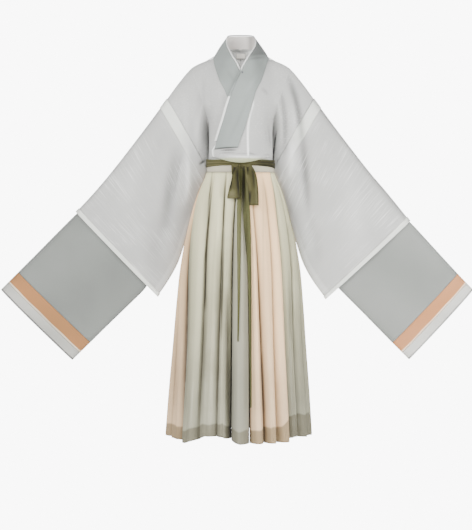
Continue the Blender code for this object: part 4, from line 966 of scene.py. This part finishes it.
CRINKLE, LINING_END, FADE = (60.0, 2.2), 0.95, 0.006        # waves a metre; shares of the height
tints = {}
for kind, name, deep, colour, high, foot, border in (  # paler at the waist, darkest in the unlined border
        ("peach", "peach_chiffon", (0.05, 0.034, 0.022), (0.99, 0.665, 0.365), (1.0, 0.8, 0.56),
         (0.6, 0.43, 0.262), (0.275, 0.2, 0.112)),
        ("sage", "sage_chiffon", (0.028, 0.024, 0.014), (0.63, 0.6, 0.38), (0.88, 0.87, 0.72),
         (0.295, 0.288, 0.215), (0.165, 0.155, 0.108)),
        ("green", "pale_green_chiffon", (0.02, 0.018, 0.013), (0.4, 0.385, 0.28), (0.7, 0.69, 0.58),
         (0.24, 0.235, 0.183), (0.155, 0.145, 0.102))):
    tints[kind] = woven(name, deep, colour, high, 0.1, CRINKLE, foot, (LINING_END, FADE, border), bump=0.05,
                        sheen=0.05)
PANEL_HEM = {"left_peach": 0.15, "front_sage": 0.3, "front_green": 0.119, "front_peach": 0.257,
             "right_sage": 0.225, "back_right_peach": 0.258, "back_green": 0.295, "back_sage": 0.372}
for panel, hem_width in PANEL_HEM.items():
    mine = [i for i, row in enumerate(FLUTES) if row[6] == panel]
    u = np.linspace(mine[0], mine[-1] + 1, STEPS_ROUND * len(mine) + 1)
    u[-1] -= 1e-6
    seam = np.zeros_like(u)
    seam[0], seam[-1] = PANEL_SEAM, -PANEL_SEAM
    grid, weave, place = skirt_rows(u, np.linspace(0, 1, STEPS_DOWN + 1), seam)
    kind = panel.split("_")[-1]
    piece = cloth("chiffon_" + panel, [(grid, weave, place, True)], SKIRT_CLOTH, [tints[kind]],
                  ["skirt_" + panel])


# ---- Skirt lining ----
# A plain cream tube under the chiffon, sewn into the waistband, that stops short of the hem. It gives way
# in front where the pleats of the chiffon go deepest.
LINING_GAP, LINING_EASE = 0.005, 0.013
LINING_DENT, LINING_DENT_AT, DENT_WIDTH = 0.036, math.radians(-7), 14        # width in degrees
v, angle = np.meshgrid(np.linspace(0.012, LINING_END, 60), np.linspace(0, 2 * np.pi, 181), indexing="ij")
from_deep = np.degrees(np.arctan2(np.sin(angle - LINING_DENT_AT), np.cos(angle - LINING_DENT_AT)))
off = -LINING_GAP - (LINING_EASE + LINING_DENT * bell(from_deep, DENT_WIDTH)) * v
z = lerp(SKIRT_TOP, HEM_Z, v)
x = (read(SKIRT_FORM, z) + off) * np.sin(angle) + SKIRT_LEAN * v
y = -(read(SKIRT_FORM, z, 2) + off) * np.cos(angle)
z = z - WAIST_DIP * (1 - ease(v / 0.3)) * np.cos(angle)
grid = stacked(x, y, z)
lining_cloth = woven("cream_lining_cloth", (0.05, 0.05, 0.04), (0.4, 0.38, 0.32), (0.5, 0.5, 0.4),
                     bump=0.05)
weave, place = stacked(angle * 0.2, z), stacked(0.5, v)
lining = cloth("cream_skirt_lining", [(grid, weave, place, True)], SKIRT_CLOTH, [lining_cloth],
               ["skirt_lining"])


# ---- Bow ----
# The same olive ribbon is tied in front: a small knot, two loops that hang flat and two long tails.
# The loops are one strip each, down in front, round the turn and back up behind.
RIBBON = 0.0006
LOOP_FOLD, LOOP_FOLD_BEHIND, TAIL_FOLD = 0.0016, 0.0008, 0.0014        # heights of the lengthwise folds
LOOP_FRONT, LOOP_BEHIND, TAIL_OUT = 0.0062, 0.0092, 0.0045        # stand-off from the pleats
LOOPS = {  # z, left x, right x, stand-off of the front layer; from the knot down to the turn
    "left": np.array([(-0.359, -0.031, -0.005, 0.001), (-0.384, -0.0298, -0.007, 0.01),
                      (-0.405, -0.029, -0.007, 0.02), (-0.44, -0.037, -0.005, 0.021),
                      (-0.47, -0.044, -0.003, 0.017)]),
    "right": np.array([(-0.3595, 0.003, 0.033, 0.001), (-0.38, 0.009, 0.046, 0.009),
                       (-0.41, 0.017, 0.054, 0.02), (-0.455, 0.026, 0.058, 0.021),
                       (-0.493, 0.029, 0.059, 0.017)])}
TAILS = {  # z, left x, right x
    "left": np.array([(-0.366, -0.008, 0.005), (-0.43, -0.01, 0.005), (-0.5, -0.0115, 0.003),
                      (-0.6, -0.0118, 0.001), (-0.7, -0.011, -0.0005), (-0.82, -0.0105, -0.003),
                      (-0.94, -0.011, -0.007)]),
    "right": np.array([(-0.366, 0.004, 0.018), (-0.43, 0.0052, 0.025), (-0.5, 0.0062, 0.03),
                       (-0.6, 0.013, 0.0335), (-0.72, 0.023, 0.035), (-0.9, 0.027, 0.035),
                       (-1.06, 0.029, 0.035), (-1.15, 0.03, 0.035)])}
KNOT, KNOT_SIZE = np.array([-0.0005, -0.0978, -0.3655]), (0.021, 0.018, 0.018)
# The knot is painted darker than the ribbon as shade, with bands of painted shade and highlight across its
# gathers.
KNOT_SHADE, KNOT_GATHER_SHADING = 0.34, 0.14


def skirt_front(z):
    """How far the foremost pleats stand out at this height."""
    v = (SKIRT_TOP - z) / (SKIRT_TOP - HEM_Z)
    pleats = read(SKIRT_FORM, z, 2) + PLEAT_DEPTH + 0.03 * np.clip(v, 0, 1)
    return np.where(z > SKIRT_TOP, WAIST_B + BELT_OUT, pleats)


BOW_FOLDS = [  # as the jacket's, over the loops: painted shade in the creases that run down from the knot, with some painted highlights
    (-0.012, -0.345, -0.029, -0.402, 0.0, 0.0036, -0.001, -0.62),
    (-0.029, -0.392, -0.034, -0.456, 0.0, 0.0042, 0.0, -0.58),
    (-0.012, -0.35, -0.007, -0.49, 0.0, 0.0052, -0.001, -0.62),
    (-0.024, -0.44, -0.03, -0.486, 0.0, 0.009, 0.0, 0.3),
    (0.0095, -0.345, 0.013, -0.41, 0.0, 0.0036, -0.001, -0.5),
    (0.022, -0.345, 0.0235, -0.4, 0.0, 0.0032, -0.001, -0.64),
    (0.035, -0.35, 0.044, -0.45, 0.002, 0.0036, -0.001, -0.42),
    (0.032, -0.446, 0.027, -0.5, 0.0, 0.0048, -0.001, -0.6),
    (0.018, -0.35, 0.02, -0.47, 0.0, 0.0032, 0.0008, 0.22),
    (0.058, -0.4, 0.06, -0.52, 0.0, 0.0034, -0.001, -0.34),
    (0.048, -0.4, 0.051, -0.5, 0.0, 0.006, 0.001, 0.08)]
TAIL_FOLDS = [  # the same, over the two tails
    (0.0098, -0.34, 0.01, -0.54, 0.0, 0.005, -0.0008, -0.62),
    (0.015, -0.48, 0.02, -0.76, 0.0, 0.0056, 0.0, -0.34),
    (-0.004, -0.36, -0.0075, -0.9, 0.0, 0.0036, 0.0, 0.22),
    (0.019, -0.4, 0.02, -0.5, 0.0, 0.0036, 0.0, 0.16), (0.032, -0.6, 0.0335, -1.12, 0.0, 0.0022, 0.0, -0.2)]


def ribbon_rows(table, stand, folds, height, count=60):
    """A strip between its two edges down a table of heights, with lengthwise folds of this height that
    open slowly towards its end. Its tone is painted highlight on the folds' crests and painted shade in
    their troughs, and darker along both edges."""
    at = np.linspace(0, len(table) - 1, count)
    row = through(at, np.arange(len(table)), table)
    s = np.linspace(0, 1, 21)
    x = lerp(row[:, 1:2], row[:, 2:3], s)
    z = np.broadcast_to(row[:, :1], x.shape)
    t = (at / at[-1])[:, None]
    fold = np.sin(np.pi * (folds * s + 0.25 * np.sin(4 * t + folds))) * np.sin(np.pi * s) ** 0.4
    y = -(skirt_front(z) + stand(row, t) + height * (1 - 0.35 * t) * fold)
    tone = 0.5 + 40 * height * fold - 0.14 * bell(np.minimum(s, 1 - s), 0.07)
    return stacked(x, y, z), stacked(x, np.abs(row[:, :1] - row[0, 0])), stacked(tone, t)


# The tails get a paler copy of the ribbon's olive: painted light, against the shade they hang in between
# the loops.
olive_tail_lit = woven("olive_ribbon_tail", OLIVE_DEEP, (0.062, 0.062, 0.02), (0.15, 0.148, 0.075), streak=0.12,
                   along=(30.0, 1500.0), roughness=0.7, sheen=0.02)
for side in ("left", "right"):
    front, _, place = ribbon_rows(LOOPS[side], lambda row, t: LOOP_FRONT + row[:, 3:4], 3, LOOP_FOLD)
    front, crease_shade = creased(front, -1, BOW_FOLDS)
    # The creases add their painted shade and highlight to the tone.
    place[..., 0] += crease_shade - 0.5
    behind, _, hidden = ribbon_rows(LOOPS[side], lambda row, t: LOOP_BEHIND + 0 * t, 3, LOOP_FOLD_BEHIND)
    bend = np.linspace(0, np.pi, 9)[1:-1, None, None]
    middle, reach = (front[-1] + behind[-1]) / 2, (front[-1] - behind[-1]) / 2
    round_turn = middle + reach * np.cos(bend) + np.array([0, 0, -0.006]) * np.sin(bend)
    grid = np.concatenate([front, round_turn, behind[::-1]])
    weave = stacked(grid[..., 0], run_along(grid[:, 10])[:, None])
    place = np.concatenate([place, place[-1:] + 0 * round_turn[..., :2], hidden[::-1]])
    loop = cloth("olive_bow_loop_" + side, [(grid, weave, place, True)], RIBBON, [olive],
                 ["bow_loop_" + side])
    grid, weave, place = ribbon_rows(TAILS[side], lambda row, t: TAIL_OUT + 0 * t, 3, TAIL_FOLD, 120)
    grid, crease_shade = creased(grid, -1, TAIL_FOLDS)
    # The creases add their painted shade and highlight to the tone.
    place[..., 0] += crease_shade - 0.5
    tail = cloth("olive_bow_tail_" + side, [(grid, weave, place, True)], RIBBON, [olive_tail_lit],
                 ["bow_tail_" + side])

around, over = np.meshgrid(np.linspace(0, 2 * np.pi, 49), np.linspace(0, np.pi, 33))
pinch = 1 + 0.1 * np.cos(around * 5 + 1.0) * np.sin(over)
long, deep, high = (0.46 * size for size in KNOT_SIZE)
thick = np.sin(over) ** 0.7 * pinch
x = long * np.sign(np.cos(over)) * np.abs(np.cos(over)) ** 0.8
grid = KNOT + stacked(x, deep * thick * np.sin(around), high * thick * np.cos(around))
weave = stacked(grid[..., 0], around * 0.01)
place = stacked(KNOT_SHADE + KNOT_GATHER_SHADING * np.cos(over * 7 + np.sin(around)), over)
knot = cloth("olive_bow_knot", [(grid, weave, place, False)], RIBBON, [olive], ["bow_knot"])


# ---- Floor, lights and camera ----
# The set hangs filled out, as on its wearer, just above a plain pale floor in soft studio light.
FLOOR_Z, FLOOR_SIZE, FLOOR_SEGMENTS, WHITE_LIGHT = -1.4, 28.0, 2, (1.0, 1.0, 1.0, 1)
CAMERA_AT, VIEW_HEIGHT, SENSOR = Vector((-0.0153, -3.75, -0.6936)), 1.802, 36.0
AMBIENT, BACKDROP = 0.55, 9.0        # strength of the room on the cloth, and of what lies behind it
LIGHTS = {  # place, size of its square, power; all look at the middle of the set
    "key_light": ((-2.6, -3.4, 1.0), 2.4, 260.0), "fill_light": ((2.3, -2.2, -0.7), 1.8, 135.0),
    "top_light": ((0.0, 1.2, 3.0), 3.0, 60.0), "back_light": ((0.8, 3.6, 0.4), 3.0, 150.0),
    "front_light": ((0.2, -4.2, 0.5), 1.4, 90.0)}
LIGHTS_LOOK_AT = Vector((0, 0, -0.65))

bpy.ops.mesh.primitive_grid_add(x_subdivisions=FLOOR_SEGMENTS, y_subdivisions=FLOOR_SEGMENTS,
                                size=FLOOR_SIZE, location=(0, 0, FLOOR_Z))
floor = bpy.context.object
floor.name = "floor"
pale, tree = new_material("pale_floor")
matt = feed(tree, tree.nodes["Principled BSDF"], {"Base Color": (0.92, 0.92, 0.92, 1), "Roughness": 1.0})
glow = new_node(tree, "Emission", {"Color": WHITE_LIGHT, "Strength": BACKDROP})
seen = new_node(tree, "LightPath", {}).outputs["Is Camera Ray"]
either = new_node(tree, "MixShader", {"Fac": seen, 1: matt.outputs["BSDF"], 2: glow.outputs["Emission"]})
feed(tree, tree.nodes["Material Output"], {"Surface": either.outputs["Shader"]})
floor.data.materials.append(pale)
floor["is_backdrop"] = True
for name, (place, size, power) in LIGHTS.items():
    lamp = bpy.data.lights.new(name, "AREA")
    lamp.shape = "SQUARE"
    lamp.size, lamp.energy = size, power
    light = placed(name, lamp)
    light.location = place
    light.rotation_euler = (LIGHTS_LOOK_AT - Vector(place)).to_track_quat("-Z", "Y").to_euler()
world = bpy.data.worlds.new("studio")
world.use_nodes = True
tree = world.node_tree
seen = new_node(tree, "LightPath", {}).outputs["Is Camera Ray"]
strength = new_node(tree, "MapRange", {"Value": seen, "To Min": AMBIENT, "To Max": BACKDROP})
feed(tree, tree.nodes["Background"], {"Color": WHITE_LIGHT, "Strength": strength.outputs["Result"]})
bpy.context.scene.world = world
optics = bpy.data.cameras.new("camera")
optics.sensor_width = SENSOR
optics.lens = SENSOR * -CAMERA_AT.y / VIEW_HEIGHT
camera = placed("camera", optics)
camera.location = CAMERA_AT
camera.rotation_euler = (math.pi / 2, 0, 0)
bpy.context.scene.camera = camera

low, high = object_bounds()
